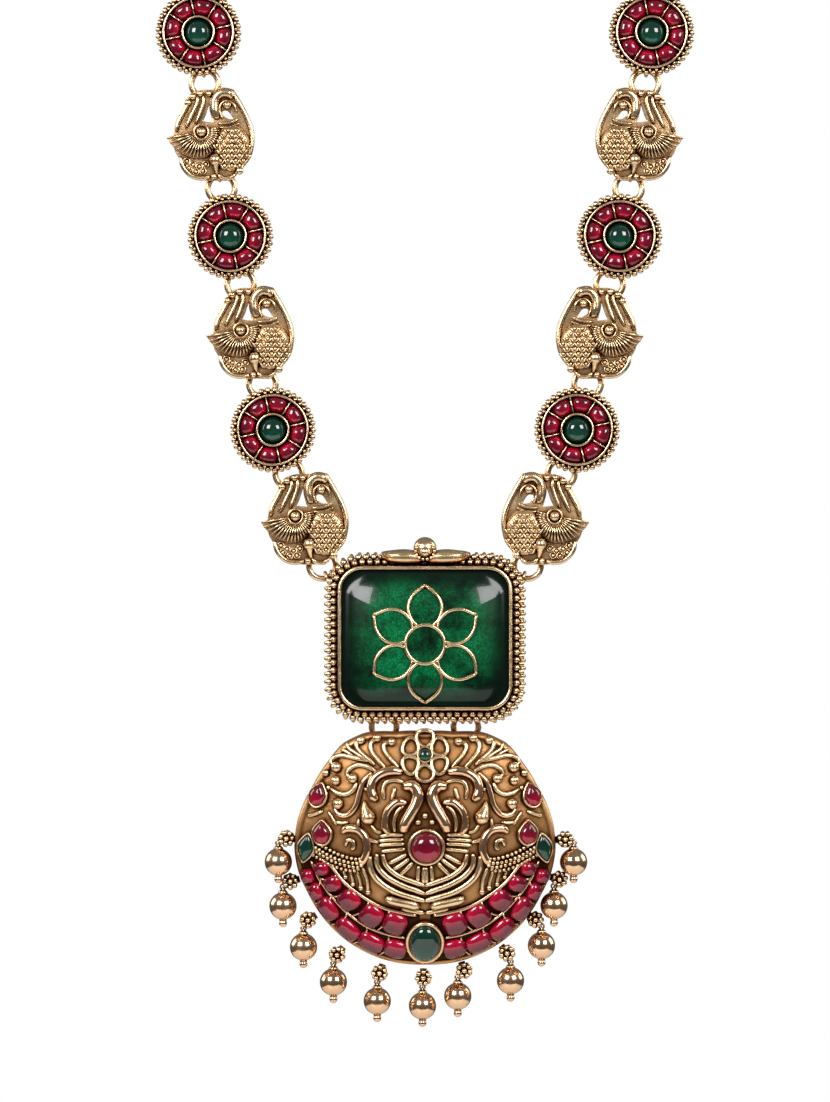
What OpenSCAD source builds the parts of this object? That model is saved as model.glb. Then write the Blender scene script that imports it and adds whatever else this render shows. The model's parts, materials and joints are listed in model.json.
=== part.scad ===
/* [Plaque] */
// Width of the plaque over its border
plaque_w = 40; // [36:0.5:44]
// Height of the plaque over its border
plaque_h = 34; // [31:0.5:38]
// Corner radius of the plaque's border
plaque_r = 7.5; // [6:0.5:9]
// Width of the border outside the bezel
border_w = 2.6; // [2:0.1:3.2]
// Height of the bezel above the plate
bezel_h = 2.8; // [2:0.1:4]
// Height of the enamel's crown above the bezel
enamel_rise = 1.6; // [0.8:0.1:2.6]
// Reach of the flower's petals
petal_reach = 11.8; // [10:0.1:12.6]
// Width of the flower's wire
petal_wire = 0.8; // [0.5:0.1:1]

/* [Pendant] */
// Width of the pendant
pendant_w = 52.4; // [50:0.2:56]
// Height of the pendant's dome above its back
dome_h = 8; // [6:0.5:10]
// Height of the pendant's rim
rim_h = 2; // [1.6:0.1:2.6]
// Wall of the pendant
pendant_wall = 1.4; // [1.2:0.1:1.8]
// Gap between plaque and pendant
pendant_gap = 1.5; // [1.2:0.1:2.4]
// Place of the pendant's two rings each side of the middle
ring_x = 8.2; // [6:0.2:12]
// Backward lean at which the pendant's weight hangs below its hinge
lean = 9; // [0:0.5:14]
// Radius of the ball of a drop
ball_r = 2.75; // [2.2:0.05:2.9]
// Radius of the grain cluster above a ball
cluster_r = 1.65; // [1.4:0.05:1.8]

/* [Strand] */
// Radius of a disc over its border
disc_r = 8.6; // [8:0.1:9]
// Radius of the bezel round a disc's rubies
disc_bezel_r = 7.15; // [6.8:0.05:7.4]
// Radius of the ruby stones of a disc
disc_ruby_r = 1.4; // [1:0.05:1.5]
// Radius of a disc's emerald
disc_emerald_r = 2.75; // [2.2:0.05:2.9]
// Thickness of a peacock's plate
peacock_t = 1.6; // [1.2:0.1:2.4]
// Mean radius of a jump ring
jump_r = 2.7; // [2.5:0.05:3]
// Radius of the jump rings' wire
jump_wire = 0.6; // [0.45:0.05:0.65]
// Depth of the front plane before the nape
front_depth = 115; // [105:1:125]
// Drop of the plaque's middle below the nape
plaque_drop = 205; // [190:1:225]

/* [Chain] */
// Mean radius of a chain link
link_r = 2.3; // [2.1:0.05:2.5]
// Radius of the chain's wire
link_wire = 0.5; // [0.4:0.05:0.55]

/* [Hidden] */
$fn = 24;
back = 1;                     // depth of every back face behind the front plane
fit = 0.1;                    // gap round a stone in its setting
lug_wire = 0.35;
lug_r = jump_wire + lug_wire + 0.2;
ring_back = back + lug_r + lug_wire - 0.2;   // depth of the rings' plane
slack = 0.25;                 // play between two links
half_w = plaque_w / 2;
half_h = plaque_h / 2;
u = pendant_w / 2;
grain_r = 0.7;
eye_r = 0.52;                 // mean radius of a drop's two eyes
eye_wire = 0.18;

// Outline of the pendant: angle from the top, radius as a share of half its width
outline = [[0, .905], [14, .93], [27, 1.005], [38, 1.027], [48, 1], [60, .985], [80, 1],
    [90, 1], [100, .985], [111, .958], [136, .935], [180, .90]];
pendant_top = outline[0][1] * u;
pendant_z = -(half_h + pendant_gap + pendant_top);
hinge_z = -half_h - pendant_gap / 2 + jump_r - 0.2;
pend_ring_r = jump_r - 0.2;

// Strand units of one side: across, up and kind (0 peacock, 1 disc)
strand = [for (p = [[4, 6.6, 0], [10.4, 24.6, 1], [14.9, 43.8, 0], [18.9, 63.3, 1], [22.8, 83.4, 0],
    [25.3, 104, 1]]) p + [half_w, half_h, 0]];
corner = [half_w - 0.3, half_h - 4.7];
peacock_half = 9.2;

// Route of the hidden chain's left side, from its first link round to the nape
far = [[-50, -109, -45], [-57, -88, -18], [-61, -55, -6], [-52, -22, 0], [-30, -5, 1]];
clasp_half = 4.2;

// Small helpers
function unit(v) = v / norm(v);
function mix(a, b, t) = a + (b - a) * t;
function share(p) = let (a = abs(atan2(p.x, p.y))) norm(p) / (lookup(a, outline) * u);
function dome(p) = rim_h + (dome_h - rim_h) * (1 - pow(min(1, share(p)), 2.2));
function dome_normal(p) = unit([dome(p - [.2, 0]) - dome(p + [.2, 0]), dome(p - [0, .2]) - dome(p + [0, .2]), .4]);
function arc(c, r, from, to, n) = [for (i = [0:n]) let (a = mix(from, to, i / n)) c + r * [cos(a), sin(a)]];
function bend(a, b, c, n) = [for (i = [0:n]) let (t = i / n) mix(mix(a, b, t), mix(b, c, t), t)];

// Turns a piece drawn in plan to face the front, from the plaque's middle
module front() translate([0, -front_depth, -plaque_drop]) rotate([90, 0, 0]) children();
module sided(side) if (side == "left") mirror([1, 0, 0]) children(); else children();
module torus(r, wire) rotate_extrude() translate([r, 0]) circle(wire);
module tube(r_out, r_in, h) difference() {
    cylinder(r = r_out, h = h, $fn = 48);
    translate([0, 0, -1]) cylinder(r = r_in, h = h + 2, $fn = 48);
}
module rounded(w, h, r) {
    square([w - 2 * r, h], center = true);
    square([w, h - 2 * r], center = true);
    for (x = [-1, 1]) for (y = [-1, 1]) translate([x * (w / 2 - r), y * (h / 2 - r)]) circle(r, $fn = 32);
}
// An eye for a ring that runs across the direction d at p
module lug(p, d) translate([p.x, p.y, -ring_back]) rotate(atan2(d.y, d.x)) rotate([90, 0, 0])
    rotate_extrude() translate([lug_r, 0]) circle(lug_wire, $fn = $fn < 20 ? 6 : 24);
// A round cabochon standing on z = 0
module cabochon(r, h) rotate_extrude() polygon(concat([[0, 0], [r, 0]],
    [for (a = [0:15:75]) [r * cos(a), h * .3 + h * .7 * sin(a)]], [[0, h]]));

// Places on the strand
function half_of(i) = strand[i][2] == 1 ? disc_r : peacock_half;
function place(i) = i < 0 ? corner : [strand[i].x, strand[i].y];
function run(i) = unit(place(i) - place(i - 1));
function joint(i) = i == 0 ? place(0) - run(0) * (half_of(0) + .5)
    : place(i - 1) + run(i) * (half_of(i - 1) + norm(place(i) - place(i - 1)) - half_of(i)) / 2;
top_lug = place(5) + run(5) * (disc_r - 1.1);
module unit_lugs(i) {
    lug(joint(i) + run(i) * jump_r, run(i));
    if (i < 5) lug(joint(i + 1) - run(i + 1) * jump_r, run(i + 1));
    else lug(top_lug, run(5));
}

// Plaque
module leaf_plan(side) translate([0, half_h]) polygon(concat(
    bend([side * 1.2, -1.8], [side * 5, 3.4], [side * 8.5, -1.4], 8),
    bend([side * 8.5, -1.4], [side * 5, -1.8], [side * 1.2, -2.4], 5)));
module plaque_frame() color("goldenrod") front() {
    inner_w = plaque_w - 2 * border_w;
    inner_h = plaque_h - 2 * border_w;
    r = plaque_r - border_w;
    translate([0, 0, -back]) linear_extrude(back + .4) rounded(plaque_w, plaque_h, plaque_r);
    linear_extrude(bezel_h + .4) difference() {
        rounded(inner_w, inner_h, r);
        rounded(inner_w - 1.4, inner_h - 1.4, r - .7);
    }
    for (side = [-1, 1]) translate([0, 0, -back]) linear_extrude(back + 1) leaf_plan(side);
    translate([0, half_h + 1, .9]) sphere(2.3);
    translate([0, half_h - .6, 1.9]) sphere(1.3);
    for (side = [-1, 1]) {
        at = joint(0) - run(0) * jump_r;
        lug([side * at.x, at.y], [side * run(0).x, run(0).y]);
        lug([side * ring_x, hinge_z], [0, 1]);
    }
}

// The enamel cushion: its plan is a rounded rectangle and its crown flattens toward the middle
enamel_w = plaque_w - 2 * border_w - 1.4 - 2 * fit;
enamel_h = plaque_h - 2 * border_w - 1.4 - 2 * fit;
enamel_r = plaque_r - border_w - .7 - fit;
enamel_top = .4 + bezel_h + enamel_rise;
function cushion_z(s) = enamel_top - (enamel_rise + 1) * pow(s, 4);
function rounded_ring(w, h, r, n) = [for (q = [0:3]) for (i = [0:n]) let (a = q * 90 + i * 90 / n,
    cx = (q == 0 || q == 3) ? 1 : -1, cy = q < 2 ? 1 : -1) [cx * (w / 2 - r) + r * cos(a), cy * (h / 2 - r) + r * sin(a)]];
function cushion_share(p) = pow(pow(abs(p.x) / (enamel_w / 2), 4) + pow(abs(p.y) / (enamel_h / 2), 4), .25);
module skin(rings) {
    n = len(rings[0]);
    m = len(rings);
    polyhedron(points = [for (ring = rings) each ring], faces = concat(
        [[for (i = [0:n - 1]) i]],
        [for (k = [0:m - 2]) for (i = [0:n - 1]) [k * n + i, (k + 1) * n + (i + 1) % n, k * n + (i + 1) % n]],
        [for (k = [0:m - 2]) for (i = [0:n - 1]) [k * n + i, (k + 1) * n + i, (k + 1) * n + (i + 1) % n]],
        [[for (i = [n - 1:-1:0]) (m - 1) * n + i]]));
}
module plaque_enamel() color("darkgreen") front() {
    ring = rounded_ring(enamel_w, enamel_h, enamel_r, 7);
    skin(concat([[for (p = ring) [p.x, p.y, .5]]],
        [for (s = [1, .95, .86, .7, .45, .15]) [for (p = ring) [p.x * s, p.y * s, cushion_z(cushion_share(p * s))]]]));
}

// A wire run over a height rule: each step is the hull of two short posts
module wire_over(points, w, rise, sink) for (i = [0:len(points) - 2]) hull() for (p = [points[i], points[i + 1]])
    translate([p.x, p.y, p.z - sink]) rotate(45) cylinder(r1 = w * .6, r2 = w * .4, h = sink + rise, $fn = 4);
function on_enamel(p) = [p.x, p.y, cushion_z(cushion_share(p)) + fit + .03];
flower_y = 1.2;  // the flower sits this far below the middle
module plaque_flower() color("goldenrod") front() translate([0, -flower_y, 0]) {
    petal = petal_reach * .29;
    for (k = [0:5]) {
        a = 30 + 60 * k;
        along = [cos(a), sin(a)];
        across = [-sin(a), cos(a)];
        for (s = [-1, 1]) wire_over([for (p = bend(along * petal_reach * .32 + across * s * petal_wire,
            along * petal_reach * .62 + across * s * petal * 2, along * petal_reach, 3))
            on_enamel(p - [0, flower_y]) + [0, flower_y, 0]], petal_wire, .45, 0);
    }
    wire_over([for (p = arc([0, 0], petal_reach * .32, 0, 360, 12)) on_enamel(p - [0, flower_y]) + [0, flower_y, 0]],
        petal_wire, .45, 0);
}

// Pendant: drawn about its middle and leaned back about the hinge
module hung() translate([0, hinge_z, -ring_back]) rotate([lean, 0, 0])
    translate([0, pendant_z - hinge_z, ring_back - back]) children();
function leaned(p) = let (y = p.y + pendant_z - hinge_z, z = p.z - back + ring_back)
    [p.x, hinge_z + y * cos(lean) - z * sin(lean), -ring_back + y * sin(lean) + z * cos(lean)];
module on_dome(p, spin = 0, lift = 0) {
    n = dome_normal(p);
    translate([p.x, p.y, dome(p)]) rotate(a = acos(n.z), v = [-n.y, n.x, 0.0001]) translate([0, 0, lift]) rotate(spin)
        children();
}
// Stone drawn as a soft-cornered cushion, with point pulling one end into a drop or both into a leaf
function stone_ring(w, h, point) = [for (i = [0:9]) let (a = i * 36 + 90, c = cos(a), s = sin(a),
    pull = point == 2 ? pow(abs(s), 1.6) * .55 : (point == 1 && s > 0 ? pow(s, 1.6) * .62 : 0))
    [w / 2 * c * (1 - pull), h / 2 * s]];
module stone(w, h, d, point = 0) {
    ring = stone_ring(w, h, point);
    skin([for (k = [[1, 0], [1, .5], [.6, 1]])
        [for (p = ring) [p.x * k[0], p.y * k[0], k[1] * d]]]);
}
// Single stones of the pendant: x, y, width, height, depth, point, spin
ruby_row = [.01 * u, .065 * u, 6, 6, 3, 0, 0];
oval_row = [0, -.695 * u, 6.3, 8.4, 3, 0, 0];
bud_row = [0, .745 * u, 2.6, 2.6, 1.6, 0, 0];
leaf_row = [.90 * u, .025 * u, 3.2, 5.6, 1.6, 2, 12];
upper_row = [.807 * u, .43 * u, 3.4, 4.6, 2, 1, 18];
lower_row = [.779 * u, .15 * u, 3.6, 4.6, 2, 1, 0];
// Crescent: angle from the top, radius share, width along the band, height across it
crescent = [[102.5, .935, 2.6, 2.6], [110.8, .929, 3.2, 2.7], [121.4, .91, 4.6, 3.3], [135.9, .904, 4.9, 3.4],
    [149.9, .888, 4.8, 3.6], [163.4, .864, 4.2, 3.7], [99.3, .81, 2.6, 2.9], [109, .771, 3, 3.3],
    [122.4, .729, 3.9, 3.8], [140, .683, 4.1, 4.4], [157.2, .645, 4.2, 4.3]];
function crescent_at(c) = let (r = c[1] * u * lookup(c[0], outline)) r * [sin(c[0]), cos(c[0])];
module gem(row) on_dome([row[0], row[1]], row[6], fit) stone(row[2], row[3], row[4], row[5]);
module crescent_stones() for (c = crescent)
    on_dome(crescent_at(c), -c[0], fit) stone(c[2] * .88, c[3] * .88, 1.5);
module round_ruby() color("crimson") front() hung() gem(ruby_row);
module oval_emerald() color("darkgreen") front() hung() gem(oval_row);
module flower_emerald() color("darkgreen") front() hung() gem(bud_row);
module leaf_emerald(side) color("darkgreen") front() hung() sided(side) gem(leaf_row);
module teardrop_ruby(row, side) color("crimson") front() hung() sided(side) gem(row);
module crescent_rubies(side) color("crimson") front() hung() sided(side) crescent_stones();

// Raised relief of one side, points as shares of half the width, and each stroke's width
relief = [
    [1.9, [[.306, .485], [.17, .458], [.08, .336], [.11, .19], [.22, .088]]],
    [1.2, [[.10, .659], [.26, .604], [.38, .517], [.41, .382], [.40, .335]]],
    [1, [[.15, .513], [.321, .428], [.352, .143]]],
    [.9, [[.475, .599], [.52, .441], [.56, .227], [.68, .255], [.64, .335]]],
    [.9, [[.44, .652], [.58, .697], [.64, .617], [.58, .53]]],
    [.9, [[.56, .717], [.72, .74], [.75, .623]]],
    [.9, [[.279, .671], [.35, .843]]],
    [.9, [[.32, .657], [.46, .83]]],
    [.9, [[.40, .672], [.60, .821]]],
    [1.2, [[.55, .13], [.45, .176], [.42, .079], [.48, .005], [.56, -.032]]],
    [.8, [[.52, -.069], [.50, -.297]]],
    [.8, [[.463, -.068], [.424, -.33]]],
    [1.5, [[.44, -.043], [.38, -.184], [.24, -.293]]],
    [1.2, [[.34, -.058], [.28, -.138], [.17, -.207]]],
    [1, [[.38, .082], [.17, .07]]],
    [1, [[.38, .011], [.17, .02]]]];
// Ridges that cross the middle
middle_relief = [[1.5, [[-.24, -.293], [.003, -.353], [.24, -.293]]],
    [1.5, [[-.332, -.417], [.006, -.466], [.33, -.415]]]];
// Ridges between and inside the rows of the crescent: width, then angle and share of the outline's reach
crescent_edges = [[.4, [[104, .862], [116, .833], [129, .806], [143, .785], [156, .762], [166, .752]]],
    [.6, [[98, .73], [110, .682], [124, .617], [141, .572], [159, .535]]]];
// Balls of one side: across, up and radius
balls = [[.34, .876, .8], [.46, .856, .8], [.632, .783, .8], [.58, .53, 1], [.75, .605, 1], [.64, .354, 1], [.44, .22, 1.2],
    [.05, .239, .6], [.512, -.336, .6], [.43, -.367, .6]];
module ridge(w, points) for (i = [0:len(points) - 2]) {
    p = points[i] * u;
    q = points[i + 1] * u;
    hull() for (e = [p, q]) translate([e.x, e.y, dome(e) - .5])
        rotate(45) cylinder(r1 = w * .6, r2 = w / 4, h = 1.3, $fn = 4);
}
module petal_ring(c, r_in, r_out) for (k = [0:5]) {
    m = c + (r_in + r_out) / 2 * [sin(60 * k), cos(60 * k)];
    for (i = [0:2]) hull() for (j = [i, i + 1]) let (a = 90 - 60 * k - 120 + 80 * j,
        e = m + (r_out - r_in) / 2 * [cos(a), sin(a)])
        translate([e.x, e.y, dome(e) - .5]) cylinder(r1 = .35, r2 = .2, h = 1.1, $fn = 4);
}
module dome_wall() {
    n = 28;
    outer = [[1, -1], [1, 0], [.92, 0], [.78, 0], [.56, 0], [.3, 0], [.04, 0]];
    inner = [[.04, 1], [.3, 1], [.56, 1], [.78, 1], [.93, 1], [.93, -1]];
    skin_loop([for (k = concat(outer, inner)) [for (i = [0:n - 1]) let (a = (i + .5) * 360 / n,
        r = lookup(abs(a > 180 ? 360 - a : a), outline) * u * k[0], p = r * [sin(-a), cos(a)])
        [p.x, p.y, k[1] < 0 ? 0 : dome(p) - k[1] * pendant_wall]]]);
}
// Joins rings of equal count from the first round to the last and back to the first
module skin_loop(rings) {
    n = len(rings[0]);
    m = len(rings);
    mid = 6;
    polyhedron(points = [for (ring = rings) each ring], faces = concat(
        [for (k = [0:m - 1]) if (k != mid) for (i = [0:n - 1]) let (b = (k + 1) % m)
            each [[k * n + i, b * n + (i + 1) % n, k * n + (i + 1) % n], [k * n + i, b * n + i, b * n + (i + 1) % n]]],
        [[for (i = [n - 1:-1:0]) mid * n + i], [for (i = [0:n - 1]) (mid + 1) * n + i]]));
}
// Drops: ball's and cluster's places, across and up from the pendant's middle
drops = [for (d = [[-29.4, -2.7, -28, 1.9], [-28.5, -11.7, -26.8, -6.6], [-24.4, -20.1, -23.3, -14.3],
    [-18.4, -27.3, -17, -20.3], [-9.6, -31.2, -8.9, -24.6], [-.5, -32.2, -.3, -26.2], [6.6, -30.2, 8.3, -24.6],
    [17.2, -27, 16, -20.3], [23.4, -19.8, 22.2, -14.6], [25.9, -11.6, 27, -6.3], [29.8, -2.7, 27.3, 2.2]])
    d * u / 26.2];
eye_step = 2 * (eye_r - eye_wire) - .1;
hang = eye_step + eye_r + ball_r;
function eye_plan(d) = [d[0], d[1] + hang];
function cluster_plan(d) = eye_plan(d) + (cluster_r + eye_wire) * unit([d[2], d[3]] - eye_plan(d));
module pendant_shell() color("peru") front() hung() {
    dome_wall();
    for (s = [-1, 1]) scale([s, 1, 1]) {
        for (row = relief) ridge(row[0], row[1]);
        for (b = balls) on_dome([b.x, b.y] * u) sphere(b.z, $fn = 6);
        for (row = [upper_row, lower_row, leaf_row]) on_dome([row[0], row[1]], row[6], -.6)
            stone_wall(row[2], row[3], row[5]);
        for (row = crescent_edges) ridge(row[0], [for (p = row[1]) p[1] * lookup(p[0], outline) * [sin(p[0]), cos(p[0])]]);
    }
    for (row = middle_relief) ridge(row[0], row[1]);
    petal_ring([0, .745 * u], 1.9, 4);
    for (row = [ruby_row, oval_row, bud_row]) on_dome([row[0], row[1]], 0, -.6)
        stone_wall(row[2], row[3], 0);
    translate([-ring_x - 2, pendant_top - 3.6, 0]) cube([2 * ring_x + 4, 3.4, 1.2]);
    for (side = [-1, 1]) translate([0, -pendant_z, back])
        lug([side * ring_x, hinge_z - 2 * pend_ring_r], [0, 1], $fn = 10);
}
module stone_wall(w, h, point) linear_extrude(1.5) difference() {
    polygon(stone_ring(w + .9, h + .9, point));
    polygon(stone_ring(w + 2 * fit, h + 2 * fit, point));
}
module pendant_rings() color("goldenrod") front() for (side = [-1, 1])
    translate([side * ring_x, hinge_z, -ring_back]) rotate([lean, 0, 0]) translate([0, -pend_ring_r, 0])
    torus(pend_ring_r, jump_wire);

// A drop's ball hangs straight below its cluster's eye
module ball_drop(i) color("orange") front() {
    d = drops[i];
    c = cluster_plan(d);
    e = eye_plan(d);
    rim = lookup(abs(atan2(c.x, c.y)), outline) * u;
    hung() translate([c.x, c.y, 1]) {
        sphere(cluster_r);
        rotate(atan2(-c.y, -c.x)) rotate([0, 90, 0]) cylinder(r = .5, h = norm(c) - rim - fit);
    }
    translate(leaned([e.x, e.y, 1])) {
        torus(eye_r, eye_wire);
        drop_ball();
    }
}
module drop_ball() {
    translate([0, -eye_step, 0]) rotate([0, 90, 0]) torus(eye_r, eye_wire);
    translate([0, -hang, 0]) {
        sphere(ball_r, $fn = 32);
        rotate([90, 0, 0]) cylinder(r = .9, h = ball_r + .35);
        translate([0, -ball_r - .7, 0]) sphere(.8);
    }
}

// Discs of the strand
module disc_setting(side, i) color("goldenrod") front() sided(side) {
    translate([strand[i].x, strand[i].y, 0]) {
        translate([0, 0, -back]) cylinder(r = disc_r - .5, h = back + .4, $fn = 48);
        tube(disc_bezel_r, disc_bezel_r - .4, 2.2);
        tube(disc_emerald_r + .6, disc_emerald_r + .2, 2.6);
        translate([0, 0, .3]) rotate_extrude($fn = 48) translate([disc_r - grain_r, 0]) circle(grain_r);
        for (k = [0:7]) rotate(k * 45 + 22.5) translate([disc_emerald_r + .4, -.15, 0])
            cube([disc_bezel_r - disc_emerald_r - .6, .3, 2]);
    }
    unit_lugs(i);
}
module disc_rubies(side, i) color("crimson") front() sided(side) translate([strand[i].x, strand[i].y, .4 + fit])
    for (k = [0:7]) rotate(k * 45) translate([(disc_emerald_r + .6 + disc_bezel_r - .4) / 2, 0, 0])
        cabochon(disc_ruby_r, 1.9);
module disc_emerald(side, i) color("darkgreen") front() sided(side)
    translate([strand[i].x, strand[i].y, .4 + fit]) cabochon(disc_emerald_r, 2.9);

// Peacock of the right strand, tail to the right: outline in plan, clockwise from the head
peacock_plan = [[-4.4, 9.2], [-1.6, 8.9], [.4, 9.2], [2, 9.1], [4.1, 8], [5.7, 4.4], [7, .9], [8.7, -.5], [7.3, -2.6],
    [6, -3.9], [5.7, -6.4], [3.8, -8.2], [.6, -8.9], [-.8, -9], [-3.7, -8.7], [-4.9, -8], [-5.8, -6.4],
    [-7.7, -4.2], [-8.5, -1.5], [-8.3, 1.1], [-7.2, 3.8], [-5.3, 7]];
neck_slot = [[.1, 5.9], [1.2, 2.7], [-.3, 2.6]];
neck_hole = [for (a = [0:45:315]) [-3.2 + 1.3 * cos(a) - .3 * sin(a), 3.9 + .9 * cos(a) + .55 * sin(a)]];
peacock_wires = [[1.1, [[-4.6, 8.4], [-7.4, 1.5], [-7.6, -2.8], [-5, -7]]],
    [1, [[-4.6, -8], [.6, -8.2], [4, -7.4], [5.4, -4.4]]],
    [1.4, [[-3.8, 8.4], [-1.6, 8], [-.8, 6], [-1.4, 3]]],
    [1, [[1.2, 8], [3, 1.8]]], [1, [[2.6, 8], [4.8, 1.4]]],
    [1, [[3.9, 7.4], [6.4, 1]]], [.9, [[-6.4, 2.2], [-1.4, 1.2]]]];
peacock_balls = [[-3.2, 6.4, 1], [1.9, .7, 1.6], [-.9, -4.8, 1.3],
    [-5.6, -7, .8]];
module peacock(side, i) color("peru") front() sided(side) {
    translate([strand[i].x, strand[i].y, 0]) {
        translate([0, 0, -back]) linear_extrude(peacock_t) difference() {
            polygon(peacock_plan);
            polygon(neck_slot);
            polygon(neck_hole);
        }
        translate([-3.6, -2.4, peacock_t - back]) scale([3.9, 4.6, 1.5]) sphere(1, $fn = 8);
        hull() {
            translate([0, 0, peacock_t - back - .1]) linear_extrude(.3) polygon([for (a = [-15:-36:-195])
                [1.9, .7] + 5.2 * [cos(a), sin(a)]]);
            translate([1.9, .7, peacock_t - back]) cylinder(r = 1.4, h = 1.4, $fn = 8);
        }
        for (w = peacock_wires) for (k = [0:len(w[1]) - 2]) hull() for (e = [w[1][k], w[1][k + 1]])
            translate([e.x, e.y, peacock_t - back - .3]) rotate(45)
            cylinder(r1 = w[0] * .6, r2 = w[0] / 4, h = 1.1, $fn = 4);
        for (b = peacock_balls) translate([b.x, b.y, peacock_t - back + .2]) sphere(b.z, $fn = 6);
    }
    unit_lugs(i, $fn = 10);
}

// Jump rings of one side's strand
module rings(side) color("goldenrod") front() sided(side) for (i = [0:5])
    translate([joint(i).x, joint(i).y, -ring_back]) torus(jump_r, jump_wire);

// Hidden chain: a smooth curve through the route, with links set along it at an even pitch
first_link = let (p = top_lug + run(5) * link_r) [-p.x, ring_back - front_depth, p.y - plaque_drop];
start_dir = [-run(5).x, 0, run(5).y];
last_link = [-clasp_half, 0, 0];
route = concat([first_link - 12 * start_dir, first_link], far, [last_link, [20, 0, 0]]);
function spline(a, b, c, d, t) = (2 * b + (c - a) * t + (2 * a - 5 * b + 4 * c - d) * t * t
    + (3 * b - a - 3 * c + d) * t * t * t) / 2;
curve = concat([for (k = [0:len(route) - 4]) for (i = [0:15])
    spline(route[k], route[k + 1], route[k + 2], route[k + 3], i / 16)], [last_link]);
function sums(v, i = 0, s = 0) = i == len(v) - 1 ? [s] : concat([s], sums(v, i + 1, s + norm(v[i + 1] - v[i])));
mile = sums(curve);
whole = mile[len(mile) - 1];
function at_mile(s) = [for (axis = [0:2]) lookup(s, [for (i = [0:len(curve) - 1]) [mile[i], curve[i][axis]]])];
links = round(whole / (2 * (link_r - link_wire) - slack));
step = whole / links;
function outward(p) = let (a = 90 * max(0, min(1, 1 + p.y / (front_depth / 2)))) [-cos(a), sin(a), 0];
module chain_side() for (k = [0:links - 1]) {
    p = at_mile(k * step);
    t = k == 0 ? start_dir : unit(at_mile(k * step + .5) - at_mile(k * step - .5));
    s = unit(cross(t, outward(p)));
    n = cross(s, t);
    axis = k % 2 == 0 ? s : n;
    other = cross(t, axis);
    multmatrix([[t.x, other.x, axis.x, p.x], [t.y, other.y, axis.y, p.y], [t.z, other.z, axis.z, p.z]])
        torus(link_r, link_wire);
}
module chain(side) color("goldenrod") if (side == "left") chain_side(); else mirror([1, 0, 0]) chain_side();
module clasp_hook() color("goldenrod") rotate([links % 2 == 0 ? 0 : 90, 0, 0]) {
    for (s = [-1, 1]) translate([s * clasp_half, 0, 0]) torus(link_r, link_wire);
    translate([-clasp_half + link_r, 0, 0]) rotate([0, 90, 0]) cylinder(r = link_wire, h = 2 * (clasp_half - link_r));
}

plaque_frame();
plaque_enamel();
plaque_flower();
pendant_rings();
pendant_shell();
round_ruby();
oval_emerald();
flower_emerald();
leaf_emerald("left");  // leaf_emerald_left
leaf_emerald("right");  // leaf_emerald_right
teardrop_ruby(upper_row, "left");  // teardrop_ruby_upper_left
teardrop_ruby(lower_row, "left");  // teardrop_ruby_lower_left
teardrop_ruby(upper_row, "right");  // teardrop_ruby_upper_right
teardrop_ruby(lower_row, "right");  // teardrop_ruby_lower_right
crescent_rubies("left");  // crescent_rubies_left
crescent_rubies("right");  // crescent_rubies_right
for (i = [1:11]) ball_drop(i - 1);
for (side = ["left", "right"]) {
    for (i = [1:3]) {
        peacock(side, 2 * i - 2);
        disc_setting(side, 2 * i - 1);
        disc_rubies(side, 2 * i - 1);
        disc_emerald(side, 2 * i - 1);
    }
    rings(side);
    chain(side);
}
clasp_hook();
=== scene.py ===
import bpy, bmesh, json, random
from math import atan2, copysign, cos, degrees, hypot, pi, radians, sin, sqrt, tau
from mathutils import Matrix, Vector


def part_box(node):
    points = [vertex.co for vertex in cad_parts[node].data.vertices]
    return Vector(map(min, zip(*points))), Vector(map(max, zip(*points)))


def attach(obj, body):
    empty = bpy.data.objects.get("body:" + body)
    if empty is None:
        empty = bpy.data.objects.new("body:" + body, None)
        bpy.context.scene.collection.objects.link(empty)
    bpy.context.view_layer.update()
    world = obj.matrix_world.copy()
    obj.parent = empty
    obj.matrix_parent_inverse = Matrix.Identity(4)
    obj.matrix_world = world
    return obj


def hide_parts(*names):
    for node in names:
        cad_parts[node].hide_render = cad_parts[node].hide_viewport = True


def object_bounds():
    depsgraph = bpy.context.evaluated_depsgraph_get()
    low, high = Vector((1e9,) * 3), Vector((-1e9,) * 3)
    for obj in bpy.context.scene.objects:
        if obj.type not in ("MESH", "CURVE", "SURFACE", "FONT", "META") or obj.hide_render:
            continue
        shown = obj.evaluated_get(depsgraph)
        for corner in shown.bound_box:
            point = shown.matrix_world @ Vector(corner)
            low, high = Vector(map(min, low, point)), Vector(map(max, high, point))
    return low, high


scene = bpy.context.scene
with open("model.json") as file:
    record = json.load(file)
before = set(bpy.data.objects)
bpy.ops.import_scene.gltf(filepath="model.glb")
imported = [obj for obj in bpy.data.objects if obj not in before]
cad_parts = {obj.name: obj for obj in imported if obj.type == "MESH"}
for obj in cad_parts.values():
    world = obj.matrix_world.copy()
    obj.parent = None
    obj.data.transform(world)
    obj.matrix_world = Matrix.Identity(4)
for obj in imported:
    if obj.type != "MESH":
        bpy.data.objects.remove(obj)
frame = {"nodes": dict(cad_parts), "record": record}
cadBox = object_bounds()
print("frame loaded")

enamelLow, enamelHigh = [Vector(c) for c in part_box("plaque_enamel")]
planeGap = 0.0005
# middle of the plaque in the front plane, which lies just behind the enamel
middle = Vector((0, enamelHigh.y + planeGap, (enamelLow.z + enamelHigh.z) / 2))
toFront = Matrix.Translation(middle) @ Matrix.Rotation(pi / 2, 4, "X") @ Matrix.Scale(0.001, 4)
swing = frame["record"]["behaviour"]["joints"][0]["pos_m"]
# the hinge in mm, behind the front plane and from the plaque's middle
ringBack, pendantHinge = (swing[1] - middle.y) * 1000, (swing[2] - middle.z) * 1000


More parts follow.
